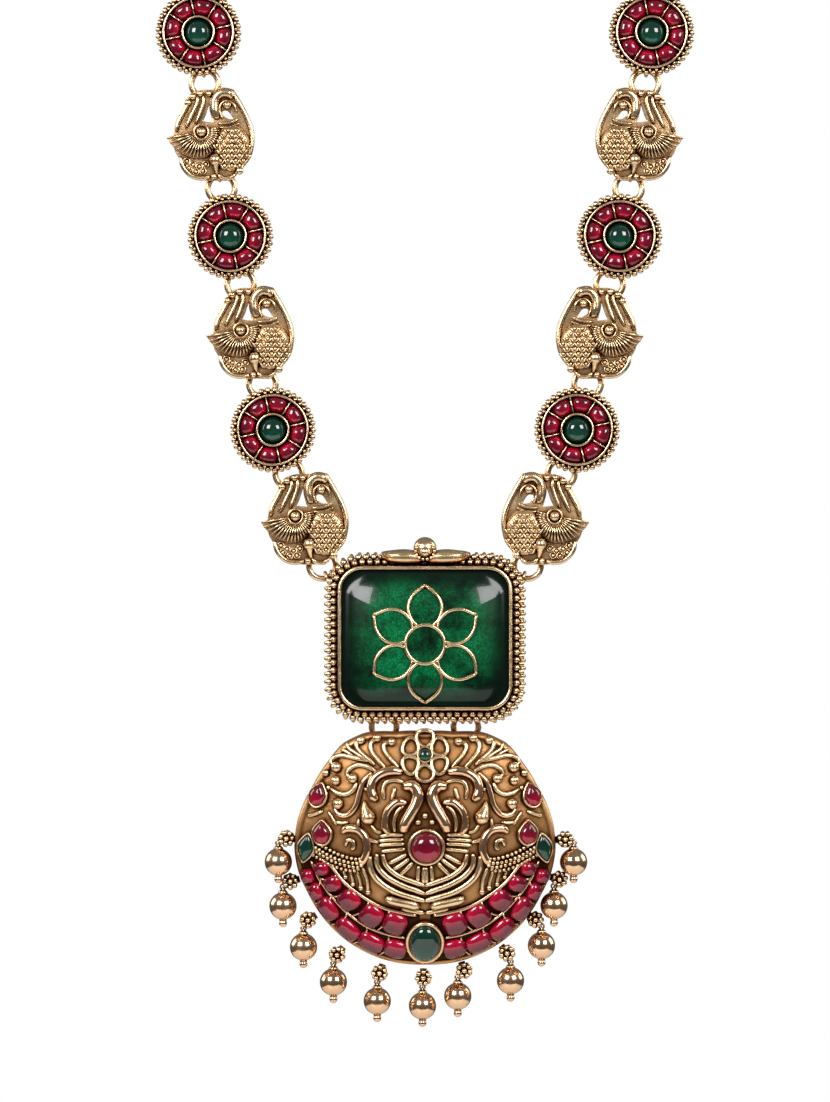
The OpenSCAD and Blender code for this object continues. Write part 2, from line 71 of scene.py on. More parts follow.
# shader maths
class Val:
    def __init__(self, tree, socket):
        self.tree, self.socket = tree, socket

    def make(self, kind, settings=None, sockets=None, out=0):
        made = self.tree.nodes.new(kind)
        for key, value in (settings or {}).items():
            if key == "stops":
                ramp = made.color_ramp
                while len(ramp.elements) < len(value):
                    ramp.elements.new(0.5)
                for element, (at, colour) in zip(ramp.elements, value):
                    element.position, element.color = at, (*colour, 1)
            else:
                setattr(made, key, value)
        for key, value in (sockets or {}).items():
            if isinstance(value, Val):
                self.tree.links.new(value.socket, made.inputs[key])
            else:
                made.inputs[key].default_value = value
        return Val(self.tree, made.outputs[out])

    def maths(self, operation, other=0.0, swap=False, clamp=False):
        pair = {0: other, 1: self} if swap else {0: self, 1: other}
        return self.make("ShaderNodeMath", {"operation": operation, "use_clamp": clamp}, pair)

    def __add__(self, other): return self.maths("ADD", other)
    def __radd__(self, other): return self.maths("ADD", other)
    def __sub__(self, other): return self.maths("SUBTRACT", other)
    def __rsub__(self, other): return self.maths("SUBTRACT", other, swap=True)
    def __mul__(self, other): return self.maths("MULTIPLY", other)
    def __rmul__(self, other): return self.maths("MULTIPLY", other)
    def __pow__(self, other): return self.maths("POWER", other)

    def between(self, low, high):
        return self.make("ShaderNodeMapRange", {"interpolation_type": "SMOOTHSTEP"},
                         {"Value": self, "From Min": low, "From Max": high})

    def blend(self, a, b):
        sockets = {0: self}
        sockets[6] = a if isinstance(a, Val) else (*a, 1)
        sockets[7] = b if isinstance(b, Val) else (*b, 1)
        return self.make("ShaderNodeMix", {"data_type": "RGBA"}, sockets, 2)

    def noise(self, scale, detail=2.0, rough=0.5):
        sockets = {"Vector": self, "Scale": scale, "Detail": detail, "Roughness": rough}
        return self.make("ShaderNodeTexNoise", {}, sockets)


def startMaterial(name, roughness=0.3, metallic=0.0, **fixed):
    material = bpy.data.materials.new(name)
    material.use_nodes = True
    tree = material.node_tree
    shader = tree.nodes["Principled BSDF"]
    shader.inputs["Roughness"].default_value = roughness
    shader.inputs["Metallic"].default_value = metallic
    for key, value in fixed.items():
        shader.inputs[key.replace("_", " ")].default_value = value
    place = Val(tree, tree.nodes.new("ShaderNodeTexCoord").outputs["Object"])

    def wire(**links):
        for key, value in links.items():
            tree.links.new(value.socket, shader.inputs[key.replace("_", " ")])
    return material, place, wire


def goldMaterial(name, look):
    material, place, wire = startMaterial(name, metallic=1.0)
    # ambient occlusion darkens the colour in hollows and where parts meet: dark patina there, and painted shade as
    # well
    openness = place.make("ShaderNodeAmbientOcclusion", {"samples": 6}, {"Distance": look["reach"]}, 1)
    cloud = place.noise(look["cloud"], 3.0)
    fine = place.noise(look["fine"], 2.0, 0.6)
    shade = openness.between(look["dark"], look["light"]) * (0.8 + 0.4 * cloud)
    tarnishAndShade = shade.make("ShaderNodeValToRGB", {"stops": look["stops"]}, {"Fac": shade})
    bump = fine.make("ShaderNodeBump", {}, {"Height": fine, "Strength": look["bump"], "Distance": look["deep"]})
    wire(Base_Color=tarnishAndShade, Roughness=look["rough"] + 0.22 * cloud + 0.25 * (1 - openness), Normal=bump)
    return material


# reach and deep in metres; dark and light are the openness at which the tarnish and painted shade begin and end
antiqueLook = {"reach": 0.0022, "dark": 0.38, "light": 0.93, "cloud": 350.0, "fine": 2600.0,
               "bump": 0.4, "deep": 0.00008, "rough": 0.14,
               "stops": [(0.0, (0.035, 0.012, 0.004)), (0.30, (0.20, 0.078, 0.024)),
                         (0.64, (0.74, 0.375, 0.138)), (1.0, (1.0, 0.74, 0.44))]}
polishLook = {"reach": 0.0016, "dark": 0.2, "light": 0.9, "cloud": 200.0, "fine": 1200.0,
              "bump": 0.06, "deep": 0.00008, "rough": 0.05,
              "stops": [(0.0, (0.10, 0.035, 0.012)), (0.5, (0.56, 0.27, 0.115)), (1.0, (0.96, 0.62, 0.38))]}
# recessLook keeps the crescent's ground near its darkest stop all over, and groundLook darkens the dome over a
# longer reach: patina and painted shade alike
recessLook = {**antiqueLook, "dark": 0.7, "light": 2.2, "rough": 0.5}
groundLook = {**antiqueLook, "reach": 0.0032, "dark": 0.42, "light": 1.35, "bump": 0.8, "rough": 0.28}
antiqueGold = goldMaterial("antiqueGold", antiqueLook)
polishedGold = goldMaterial("polishedGold", polishLook)
darkGold = goldMaterial("darkGold", recessLook)
groundGold = goldMaterial("groundGold", groundLook)


def stoneMaterial(name, look):
    material, place, wire = startMaterial(name, roughness=0.10, IOR=1.6, Coat_Weight=0.5, Coat_Roughness=0.02)
    # the stone is painted lighter towards its bottom, as light glowing through it from below; cloud and wisp add
    # random tone
    low = place.make("ShaderNodeAttribute", {"attribute_name": "lowSide"}, {}, 2)
    cloud = place.noise(look["cloud"], 3.0, 0.6)
    wisp = place.noise(look["wisp"], 2.0)
    light = low.between(0.35, 1.0) * 0.75 + cloud * 0.5 - 0.12
    colour = light.maths("ADD", wisp * 0.2, clamp=True).blend(look["deep"], look["lit"])
    # the colour also feeds emission, so each stone glows with painted light
    wire(Base_Color=colour, Emission_Color=colour)
    material.node_tree.nodes["Principled BSDF"].inputs["Emission Strength"].default_value = look["paintedGlow"]
    return material


# deep and lit are the stones' shaded and lit colours; the emission strength sets their painted glow
rubyLook = {"deep": (0.035, 0.0, 0.006), "lit": (0.42, 0.0, 0.028), "paintedGlow": 0.05, "cloud": 700.0, "wisp": 240.0}
emeraldLook = {**rubyLook, "deep": (0.0, 0.010, 0.007), "lit": (0.003, 0.075, 0.042), "paintedGlow": 0.03}
ruby = stoneMaterial("ruby", rubyLook)
emerald = stoneMaterial("emerald", emeraldLook)
# deep is the enamel's colour painted in shade at its rim; body is its green
enamelLook = {"deep": (0.0, 0.005, 0.002), "body": (0.0, 0.115, 0.034), "paintedGlint": (0.004, 0.36, 0.12),
              "paintedGlintShare": 0.7, "cloud": 110.0, "grain": 5200.0}


def enamelMaterial(halfW, halfH):
    material, place, wire = startMaterial("greenEnamel", roughness=0.22, IOR=1.33,
                                          Coat_Weight=0.36, Coat_Roughness=0.04)
    away = place.make("ShaderNodeVectorMath", {"operation": "SUBTRACT"}, {0: place, 1: tuple(middle)})
    parts = away.make("ShaderNodeSeparateXYZ", {}, {0: away})
    across = parts * (1 / halfW)
    upward = Val(parts.tree, parts.socket.node.outputs[2]) * (1 / halfH)
    edge = (across ** 4.0) + (upward ** 4.0)
    cloud = place.noise(enamelLook["cloud"], 5.0, 0.7)
    # bright green speckles in random patches, fading towards the rim: painted glints on the enamel
    paintedGlint = place.make("ShaderNodeTexVoronoi", {"feature": "F1"}, {"Vector": place, "Scale": enamelLook["grain"]}, 1)
    sparkle = paintedGlint.make("ShaderNodeSeparateXYZ", {}, {0: paintedGlint}).between(0.3, 1.0) * cloud.between(0.36, 0.70)
    # random cloud in the green, darkening towards the rim as painted shade beneath the frame's wall
    cloudAndRimShade = cloud.between(0.3, 0.75) * (1 - edge.between(0.0, 0.8))
    body = cloudAndRimShade.blend(enamelLook["deep"], enamelLook["body"])
    # the glints' colour and share paint bright reflections over the green
    shine = sparkle * (1 - edge.between(0.0, 0.5)) * enamelLook["paintedGlintShare"]
    wire(Base_Color=shine.blend(body, enamelLook["paintedGlint"]))
    return material


print("materials made")


# modelling helpers: everything is drawn in mm in the front plane, +z towards the viewer
def loopOfVerts(bm, points):
    verts = [bm.verts.new(p) for p in points]
    return verts, [bm.edges.new((a, b)) for a, b in zip(verts, verts[1:] + verts[:1])]


def addLoops(bm, loops, closed=False, capFirst=False, capLast=False):
    verts, edges = loopOfVerts(bm, loops[0])
    first, firstEdges, made = verts, edges, list(verts)
    for loop in loops[1:]:
        grown = bmesh.ops.extrude_edge_only(bm, edges=edges)["geom"]
        fresh = {g for g in grown if isinstance(g, bmesh.types.BMVert)}
        edges = [g for g in grown if isinstance(g, bmesh.types.BMEdge) and fresh.issuperset(g.verts)]
        nextVerts = []
        for vert, point in zip(verts, loop):
            twin = next(e.other_vert(vert) for e in vert.link_edges if e.other_vert(vert) in fresh)
            twin.co = point
            nextVerts.append(twin)
        verts = nextVerts
        made += verts
    if closed:
        bmesh.ops.bridge_loops(bm, edges=firstEdges + edges)
    if capFirst:
        bm.faces.new(first[::-1])
    if capLast:
        bm.faces.new(verts)
    return made


def addBand(bm, shape, profile, place=Matrix(), closed=True, capLast=False, capFirst=False):
    loops = [[place @ Vector((x, y, z)) for x, y in shape(offset)] for offset, z in profile]
    return addLoops(bm, loops, closed, capFirst, capLast)


def circleShape(radius, count):
    def shape(offset):
        return [p.xy for p in around(0, 0, radius + offset, 0, count)]
    return shape


def roundedShape(w, h, r, count=9):
    def shape(offset):
        points = []
        for quarter in range(4):
            cx = (w / 2 - r) * (1 if quarter in (0, 3) else -1)
            cy = (h / 2 - r) * (1 if quarter < 2 else -1)
            for i in range(count + 1):
                a = (quarter + i / count) * pi / 2
                points.append((cx + (r + offset) * cos(a), cy + (r + offset) * sin(a)))
        return points
    return shape


def stoneShape(w, h, point=0, count=28, square=1.0):
    def shape(offset):
        points = []
        for i in range(count):
            a = tau * i / count + pi / 2
            c, s = cos(a), sin(a)
            pull = 0.55 * abs(s) ** 1.6 if point == 2 else 0.62 * s ** 1.6 if point == 1 and s > 0 else 0
            c, s = copysign(abs(c) ** square, c), copysign(abs(s) ** square, s)
            points.append(((w / 2 + offset) * c * (1 - pull), (h / 2 + offset) * s))
        return points
    return shape


def addStone(bm, shape, height, place=Matrix(), inset=0.0, base=0.0):
    layer = bm.verts.layers.float.get("lowSide") or bm.verts.layers.float.new("lowSide")
    outline = shape(-inset)
    top = max(y for x, y in outline)
    loops, steps = [[place @ Vector((x * 0.97, y * 0.97, base)) for x, y in outline]], 9
    for k in range(steps):
        a = pi / 2 * k / (steps - 0.6)
        s, z = cos(a) ** 0.8, base + height * (0.25 + 0.75 * sin(a))
        loops.append([place @ Vector((x * s, y * s, z)) for x, y in outline])
    made = addLoops(bm, loops, capFirst=True, capLast=True)
    # the attribute is 1 at the stone's bottom and 0 at its top, for the painted light glowing from below
    back = place.inverted()
    for vert in made:
        vert[layer] = 0.5 - 0.5 * (back @ vert.co).y / top


def addBall(bm, at, radius, detail=2, place=Matrix()):
    bmesh.ops.create_icosphere(bm, subdivisions=detail, radius=radius, matrix=place @ Matrix.Translation(at))


def smoothLine(points, steps=6, closed=False):
    points = [Vector(p) for p in points]
    if closed:
        ends = [points[-1]] + points + points[:2]
    else:
        ends = [2 * points[0] - points[1]] + points + [2 * points[-1] - points[-2]]
    line = []
    for a, b, c, d in zip(ends, ends[1:], ends[2:], ends[3:]):
        for k in range(steps):
            t = k / steps
            line.append(0.5 * (2 * b + (c - a) * t + (2 * a - 5 * b + 4 * c - d) * t * t
                               + (3 * b - a - 3 * c + d) * t ** 3))
    return line if closed else line + [points[-1]]


def smoothFlat(points, steps=6, closed=False):
    return [p.xy for p in smoothLine([(*p, 0) for p in points], steps, closed)]


def pourCurve(bm, curve, place):
    holder = bpy.data.objects.new(curve.name, curve)
    drawn = len(bm.verts)
    bm.from_mesh(holder.to_mesh())
    holder.to_mesh_clear()
    bpy.data.objects.remove(holder)
    bpy.data.curves.remove(curve)
    bm.verts.ensure_lookup_table()
    bmesh.ops.transform(bm, matrix=place, verts=bm.verts[drawn:])


# strokes: points, one radius or one a point, closed
def addWires(bm, strokes, place=Matrix(), roundness=2):
    curve = bpy.data.curves.new("wires", "CURVE")
    curve.dimensions, curve.bevel_depth, curve.bevel_resolution, curve.use_fill_caps = "3D", 1.0, roundness, True
    for points, radii, closed in strokes:
        spline = curve.splines.new("POLY")
        spline.points.add(len(points) - 1)
        spline.use_cyclic_u = closed
        for i, p in enumerate(points):
            spline.points[i].co = (*p, 1)
            spline.points[i].radius = radii if isinstance(radii, (int, float)) else radii[i]
    pourCurve(bm, curve, place)


def addPlate(bm, outlines, low, high, bevel, place=Matrix()):
    curve = bpy.data.curves.new("plate", "CURVE")
    curve.dimensions, curve.fill_mode = "2D", "BOTH"
    curve.extrude, curve.bevel_depth = (high - low) / 2 - bevel, bevel
    for points in outlines:
        spline = curve.splines.new("POLY")
        spline.points.add(len(points) - 1)
        spline.use_cyclic_u = True
        for i, p in enumerate(points):
            spline.points[i].co = (p[0], p[1], 0, 1)
    pourCurve(bm, curve, place @ Matrix.Translation((0, 0, (low + high) / 2)))


def around(x, y, radius, z, count, turn=0.0):
    angles = [tau * i / count + turn for i in range(count)]
    return [Vector((x + radius * cos(a), y + radius * sin(a), z)) for a in angles]


def mirrored(side):
    return Matrix.Diagonal((side, 1, 1, 1))


def spun(angle):
    return Matrix.Rotation(radians(angle), 4, "Z")


def toward(angle):
    return Vector((cos(radians(angle)), sin(radians(angle)), 0))


def taper(count, thick, start=0.5, end=0.5):
    return [thick * min(1, start + 3 * i / count, end + 3 * (count - 1 - i) / count) for i in range(count)]


def addRing(bm, at, radius, wire, axis="Z", place=Matrix(), count=28, sides=8):
    turn = {"X": Matrix.Rotation(pi / 2, 4, "Y"), "Y": Matrix.Rotation(pi / 2, 4, "X"), "Z": Matrix()}[axis]
    shape = circleShape(radius, count)
    profile = [(wire * cos(tau * i / sides), wire * sin(tau * i / sides)) for i in range(sides)]
    addBand(bm, shape, profile, place @ Matrix.Translation(at) @ turn)


def finishPiece(name, bm, material, body, nodes=()):
    bmesh.ops.remove_doubles(bm, verts=bm.verts, dist=1e-5)
    bmesh.ops.recalc_face_normals(bm, faces=bm.faces)
    bmesh.ops.transform(bm, matrix=toFront, verts=bm.verts)
    mesh = bpy.data.meshes.new(name)
    bm.to_mesh(mesh)
    bm.free()
    mesh.shade_smooth()
    mesh.materials.append(material)
    piece = bpy.data.objects.new(name, mesh)
    scene.collection.objects.link(piece)
    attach(piece, body)
    if nodes:
        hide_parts(*nodes)
    return piece


# camera and lights, from the photo's frame
photo = {"mmPerPixel": 0.2, "wide": 830, "tall": 1102, "plaqueX": 425, "plaqueY": 638, "away": 1.5}
camera = bpy.data.cameras.new("camera")
camera.sensor_fit, camera.sensor_height = "VERTICAL", 24
camera.lens = 24 * photo["away"] / (photo["tall"] * photo["mmPerPixel"] / 1000)
camera.clip_end = 20
cameraObject = bpy.data.objects.new("camera", camera)
scene.collection.objects.link(cameraObject)
aim = middle + Vector(((photo["wide"] / 2 - photo["plaqueX"]) * photo["mmPerPixel"] / 1000, 0,
                       (photo["plaqueY"] - photo["tall"] / 2) * photo["mmPerPixel"] / 1000))
cameraObject.location = aim + Vector((0, -photo["away"], 0))
cameraObject.rotation_euler = (pi / 2, 0, 0)
scene.camera = cameraObject
scene.view_settings.view_transform = "Standard"
scene.view_settings.look = "None"

studio = {"softboxes": [((-0.42, -0.62, 0.32), 0.34, 4.6), ((0.42, -0.62, 0.32), 0.34, 4.0),
                        ((0.0, -0.35, -0.62), 0.5, 0.5), ((-0.8, 0.2, 0.3), 0.5, 2.4), ((0.8, 0.2, 0.3), 0.5, 2.4)],
          "surround": 0.20}
for index, (at, side, power) in enumerate(studio["softboxes"]):
    light = bpy.data.lights.new("softbox%d" % index, "AREA")
    light.shape, light.size, light.energy = "SQUARE", side, power
    lamp = bpy.data.objects.new(light.name, light)
    scene.collection.objects.link(lamp)
    lamp.location = middle + Vector(at)
    lamp.rotation_euler = (middle - lamp.location).to_track_quat("-Z", "Y").to_euler()
world = bpy.data.worlds.new("studio")
scene.world = world
world.use_nodes = True
sky = Val(world.node_tree, world.node_tree.nodes.new("ShaderNodeTexCoord").outputs["Generated"])
height = Val(sky.tree, sky.make("ShaderNodeSeparateXYZ", {}, {0: sky}).socket.node.outputs[2])
dim = (height * 0.5 + 0.5).blend((0.03, 0.025, 0.02), (studio["surround"],) * 3)
seen = sky.make("ShaderNodeLightPath")
backdrop = world.node_tree.nodes["Background"].inputs["Color"]
world.node_tree.links.new(seen.blend(dim, (1.0, 1.0, 1.0)).socket, backdrop)
print("camera and lights placed")


# strand units, placed where the CAD has them
def centreOf(node, shift=(0, 0)):
    low, high = [(Vector(c) - middle) * 1000 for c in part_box(node)]
    return Vector(((low.x + high.x) / 2 + shift[0], (low.z + high.z) / 2 + shift[1], 0))


strand = {"discHalf": 8.6, "peacockHalf": 9.2, "peacockShift": 0.1, "plaqueGap": 0.5, "topLug": 1.1, "jump": 2.7,
          "lug": 1.15, "lugWire": 0.35, "corner": (19.7, 12.3)}
sides = {"right": 1, "left": -1}


def strandOf(side):
    shift = (-strand["peacockShift"] * sides[side], -strand["peacockShift"])
    places = []
    for k in (1, 2, 3):
        places += [centreOf("peacock_%s_%d" % (side, k), shift), centreOf("disc_emerald_%s_%d" % (side, k))]
    halves = [strand["peacockHalf"], strand["discHalf"]] * 3
    before = [Vector((strand["corner"][0] * sides[side], strand["corner"][1], 0))] + places[:-1]
    runs = [(b - a).normalized() for a, b in zip(before, places)]
    joints = [places[0] - runs[0] * (halves[0] + strand["plaqueGap"])]
    for k in range(1, 6):
        gap = (places[k] - places[k - 1]).length - halves[k] - halves[k - 1]
        joints.append(places[k - 1] + runs[k] * (halves[k - 1] + gap / 2))
    lugs = []
    for k in range(6):
        if k < 5:
            upper = joints[k + 1] - runs[k + 1] * strand["jump"]
        else:
            upper = places[5] + runs[5] * (strand["discHalf"] - strand["topLug"])
        lugs.append([(joints[k] + runs[k] * strand["jump"], runs[k]), (upper, runs[min(5, k + 1)])])
    plaqueLug = (joints[0] - runs[0] * strand["jump"], runs[0])
    return places, lugs, plaqueLug


def addLugs(bm, lugs):
    for at, run in lugs:
        turn = Matrix.Translation((at.x, at.y, -ringBack)) @ Matrix.Rotation(atan2(run.y, run.x), 4, "Z")
        addRing(bm, (0, 0, 0), strand["lug"], strand["lugWire"], "Y", turn)


# plaque
plaque = {
    "wide": 40, "tall": 34, "corner": 7.5, "border": 2.6, "wall": 0.7, "low": -0.9, "floor": 0.3, "rimTop": 3.3,
    "lugs": 8.2, "pitch": 1.55,
    # grains: out from the rim, height, radius and shift along the row
    "grainRows": [(0.72, 1.1, 0.74, 0), (1.75, 0.5, 0.72, 0.5)],
    # fringe: where it starts, then out, height and thickness of each point
    "fringeAt": 1.6, "fringe": [(0, 0.4, 0.5), (0.6, 0.3, 0.45), (1, 0, 0.34)],
    # top leaf: across, up from the crown, height
    "leaf": [(0.8, -1, 1.5), (3.6, -0.75, 1.9), (6.4, -0.7, 1.7), (8.7, -0.3, 1)], "vein": 0.26,
    # top balls: up from the crown, height, radius; grains: number, half width, half height, height, radius
    "bigBall": (0.9, 1.2, 2.3), "smallBall": (0.25, 3.1, 1.05), "ballGrains": (14, 1.85, 1.6, 2.7, 0.42),
    "enamelTop": 4.8, "enamelFall": 2.6, "enamelEdge": 0.8, "enamelGap": 0.1,
    "petal": [(3.7, 1.5), (5, 2.75), (7.2, 3.35), (9.7, 2.5), (11.8, 0)], "petalWire": 0.36, "petalRing": 3.9,
    "flowerY": -1.2}
innerW, innerH = plaque["wide"] - 2 * plaque["border"], plaque["tall"] - 2 * plaque["border"]
innerR = plaque["corner"] - plaque["border"]


def evenly(points, pitch):
    points = [Vector(p) for p in points]
    lengths = [(b - a).length for a, b in zip(points, points[1:] + points[:1])]
    count = max(3, round(sum(lengths) / pitch))
    step, out, walked, k = sum(lengths) / count, [], 0.0, 0
    for i in range(count):
        while walked + lengths[k] < i * step:
            walked += lengths[k]
            k += 1
        a, b = points[k], points[(k + 1) % len(points)]
        out.append((a + (b - a) * ((i * step - walked) / lengths[k]), (b - a).normalized()))
    return out


def addGrainRows(bm, shape):
    pitch = plaque["pitch"]
    for offset, z, radius, shift in plaque["grainRows"]:
        for at, along in evenly([(x, y, z) for x, y in shape(offset)], pitch):
            addBall(bm, at + along * shift * pitch, radius)


def enamelHeight(x, y):
    halfW, halfH = innerW / 2 - plaque["enamelEdge"], innerH / 2 - plaque["enamelEdge"]
    share = ((abs(x) / halfW) ** 4 + (abs(y) / halfH) ** 4) ** 0.25
    return plaque["enamelTop"] - plaque["enamelFall"] * min(1, share) ** 4


def addTopOrnament(bm, crown):
    leaf = smoothLine([(x, crown + y, z) for x, y, z in plaque["leaf"]], 6)
    swell = [0.35 + 1.15 * sin(pi * (0.2 + 0.77 * i / (len(leaf) - 1))) ** 0.7 for i in range(len(leaf))]
    vein = [p + Vector((0, 0.25, w * 0.95)) for p, w in zip(leaf, swell)]
    for side in (-1, 1):
        addWires(bm, [(leaf, swell, False), (vein, taper(len(vein), plaque["vein"]), False)], mirrored(side))
    for up, z, radius in (plaque["bigBall"], plaque["smallBall"]):
        addBall(bm, (0, crown + up, z), radius, 4 if radius > 2 else 3)
    count, halfWide, halfTall, z, radius = plaque["ballGrains"]
    for at in around(0, 0, 1, 0, count):
        addBall(bm, (halfWide * at.x, crown + 0.35 + halfTall * at.y, z), radius)


def makePlaqueFrame():
    bm = bmesh.new()
    body = roundedShape(innerW, innerH, innerR)
    top, wall, low, floor = plaque["rimTop"], plaque["wall"], plaque["low"], plaque["floor"]
    addBand(bm, body, [(1.2, low), (1.4, low + 0.2), (1.4, 0.1), (0.0, 0.5), (0.0, top - 0.2), (-0.12, top),
                       (-wall + 0.12, top), (-wall, top - 0.2), (-wall, floor), (-wall - 1.0, floor),
                       (-wall - 1.0, low)])
    addBand(bm, body, [(-wall - 0.9, low), (-wall - 0.9, floor)], closed=False, capFirst=True, capLast=True)
    addGrainRows(bm, body)
    strokes = []
    for at, along in evenly([(x, y, 0) for x, y in body(plaque["fringeAt"])], plaque["pitch"]):
        out = Vector((along.y, -along.x, 0))
        points = [at + out * reach + Vector((0, 0, z)) for reach, z, thick in plaque["fringe"]]
        strokes.append((points, [thick for reach, z, thick in plaque["fringe"]], False))
    addWires(bm, strokes, roundness=1)
    addTopOrnament(bm, plaque["tall"] / 2)
    for side in (-1, 1):
        at = (side * plaque["lugs"], pendantHinge, -ringBack)
        addRing(bm, at, strand["lug"], strand["lugWire"], "X")
    addLugs(bm, [strandOf(name)[2] for name in sides])
    finishPiece("plaqueFrame", bm, antiqueGold, "necklace", ["plaque_frame"])


def makeEnamel():
    bm = bmesh.new()
    inset = plaque["wall"] + plaque["enamelGap"]
    shape = roundedShape(innerW - 2 * inset, innerH - 2 * inset, innerR - inset, 12)
    loops = [[Vector((x, y, 0.4)) for x, y in shape(0)]]
    for s in (1, 0.99, 0.97, 0.94, 0.9, 0.85, 0.78, 0.68, 0.56, 0.42, 0.26, 0.1):
        loops.append([Vector((x * s, y * s, enamelHeight(x * s, y * s))) for x, y in shape(0)])
    addLoops(bm, loops, capFirst=True, capLast=True)
    green = enamelMaterial(innerW / 2000, innerH / 2000)
    finishPiece("plaqueEnamel", bm, green, "necklace", ["plaque_enamel"])


def makeFlower():
    bm = bmesh.new()
    wire, low = plaque["petalWire"], plaque["flowerY"]
    strokes = []

    def onEnamel(points):
        return [Vector((p.x, p.y + low, enamelHeight(p.x, p.y + low) + 0.12)) for p in points]

    for k in range(6):
        turn = spun(30 + 60 * k)
        for side in (-1, 1):
            line = smoothLine([turn @ Vector((x, y * side, 0)) for x, y in plaque["petal"]], 5)
            strokes.append((onEnamel(line), wire, False))
    strokes.append((onEnamel(around(0, 0, plaque["petalRing"], 0, 40)), wire * 1.1, True))
    addWires(bm, strokes)
    finishPiece("plaqueFlower", bm, antiqueGold, "necklace", ["plaque_flower"])


makePlaqueFrame()
makeEnamel()
makeFlower()
print("plaque made")


def wedgeShape(middle, halfDeep, halfAngle, count=28):
    def shape(offset):
        points = []
        for i in range(count):
            a = tau * i / count + pi / 2
            c, s = cos(a), sin(a)
            c, s = copysign(abs(c) ** 0.62, c), copysign(abs(s) ** 0.7, s)
            turn, reach = radians(halfAngle) * c, middle + (halfDeep + offset) * s
            points.append((reach * sin(turn), reach * cos(turn) - middle))
        return points
    return shape


disc = {
    "radius": 8.6, "bezel": (7.15, 2.35), "inner": (3.35, 2.75), "wall": 0.42, "turn": -10, "stones": 8,
    # bead rows: distance from the middle, height and radius
    "beads": 37, "beadRows": [(7.95, 0.7, 0.66), (7.5, 1.5, 0.36), (8, -0.4, 0.6)],
    # rubies: distance from the middle, half depth, half angle and height
    "ruby": (5.2, 1.56, 21, 2.15), "emerald": (2.6, 3.2), "bed": 0.4,
    # walls between the rubies: height and radius of each wire
    "divide": [(2.05, 0.17), (1.7, 0.2), (1.35, 0.2), (1, 0.2), (0.65, 0.2)]}


def makeDisc(side, k, place, lugs):
    move = Matrix.Translation(place)
    wall = disc["wall"]
    bm = bmesh.new()
    plate = circleShape(disc["radius"] - 0.75, 64)
    addBand(bm, plate, [(-0.5, -1.0), (0.0, -0.9), (0.0, 0.6), (-0.55, 0.9), (-0.9, 0.3), (-7.0, 0.3)], move,
            closed=False, capFirst=True, capLast=True)
    for radius, top in (disc["bezel"], disc["inner"]):
        profile = [(0, 0.1), (0, top - 0.12), (-0.1, top), (-wall + 0.1, top), (-wall, top - 0.12), (-wall, 0.1)]
        addBand(bm, circleShape(radius, 64), profile, move)
    dividers = []
    for i in range(disc["stones"]):
        d = toward(22.5 + 45 * i + disc["turn"])
        for z, thick in disc["divide"]:
            ends = [d * (disc["inner"][0] - 0.1), d * (disc["bezel"][0] - 0.2)]
            dividers.append(([end + Vector((0, 0, z)) for end in ends], thick, False))
    addWires(bm, dividers, move, 1)
    for row, (radius, z, size) in enumerate(disc["beadRows"]):
        for at in around(0, 0, radius, z, disc["beads"], pi * row / disc["beads"]):
            addBall(bm, at, size, 2, move)
    addLugs(bm, lugs)
    number = "_%s_%d" % (side, k)
    finishPiece("disc" + number, bm, antiqueGold, "necklace", ["disc_setting" + number])
    bm = bmesh.new()
    away, halfDeep, halfAngle, tall = disc["ruby"]
    for i in range(disc["stones"]):
        turn = spun(45 * i + disc["turn"]) @ Matrix.Translation((0, away, 0))
        addStone(bm, wedgeShape(away, halfDeep, halfAngle), tall, move @ turn, base=disc["bed"])
    finishPiece("discRubies" + number, bm, ruby, "necklace", ["disc_rubies" + number])
    bm = bmesh.new()
    radius, tall = disc["emerald"]
    addStone(bm, circleShape(radius, 32), tall, move, base=disc["bed"])
    finishPiece("discEmerald" + number, bm, emerald, "necklace", ["disc_emerald" + number])


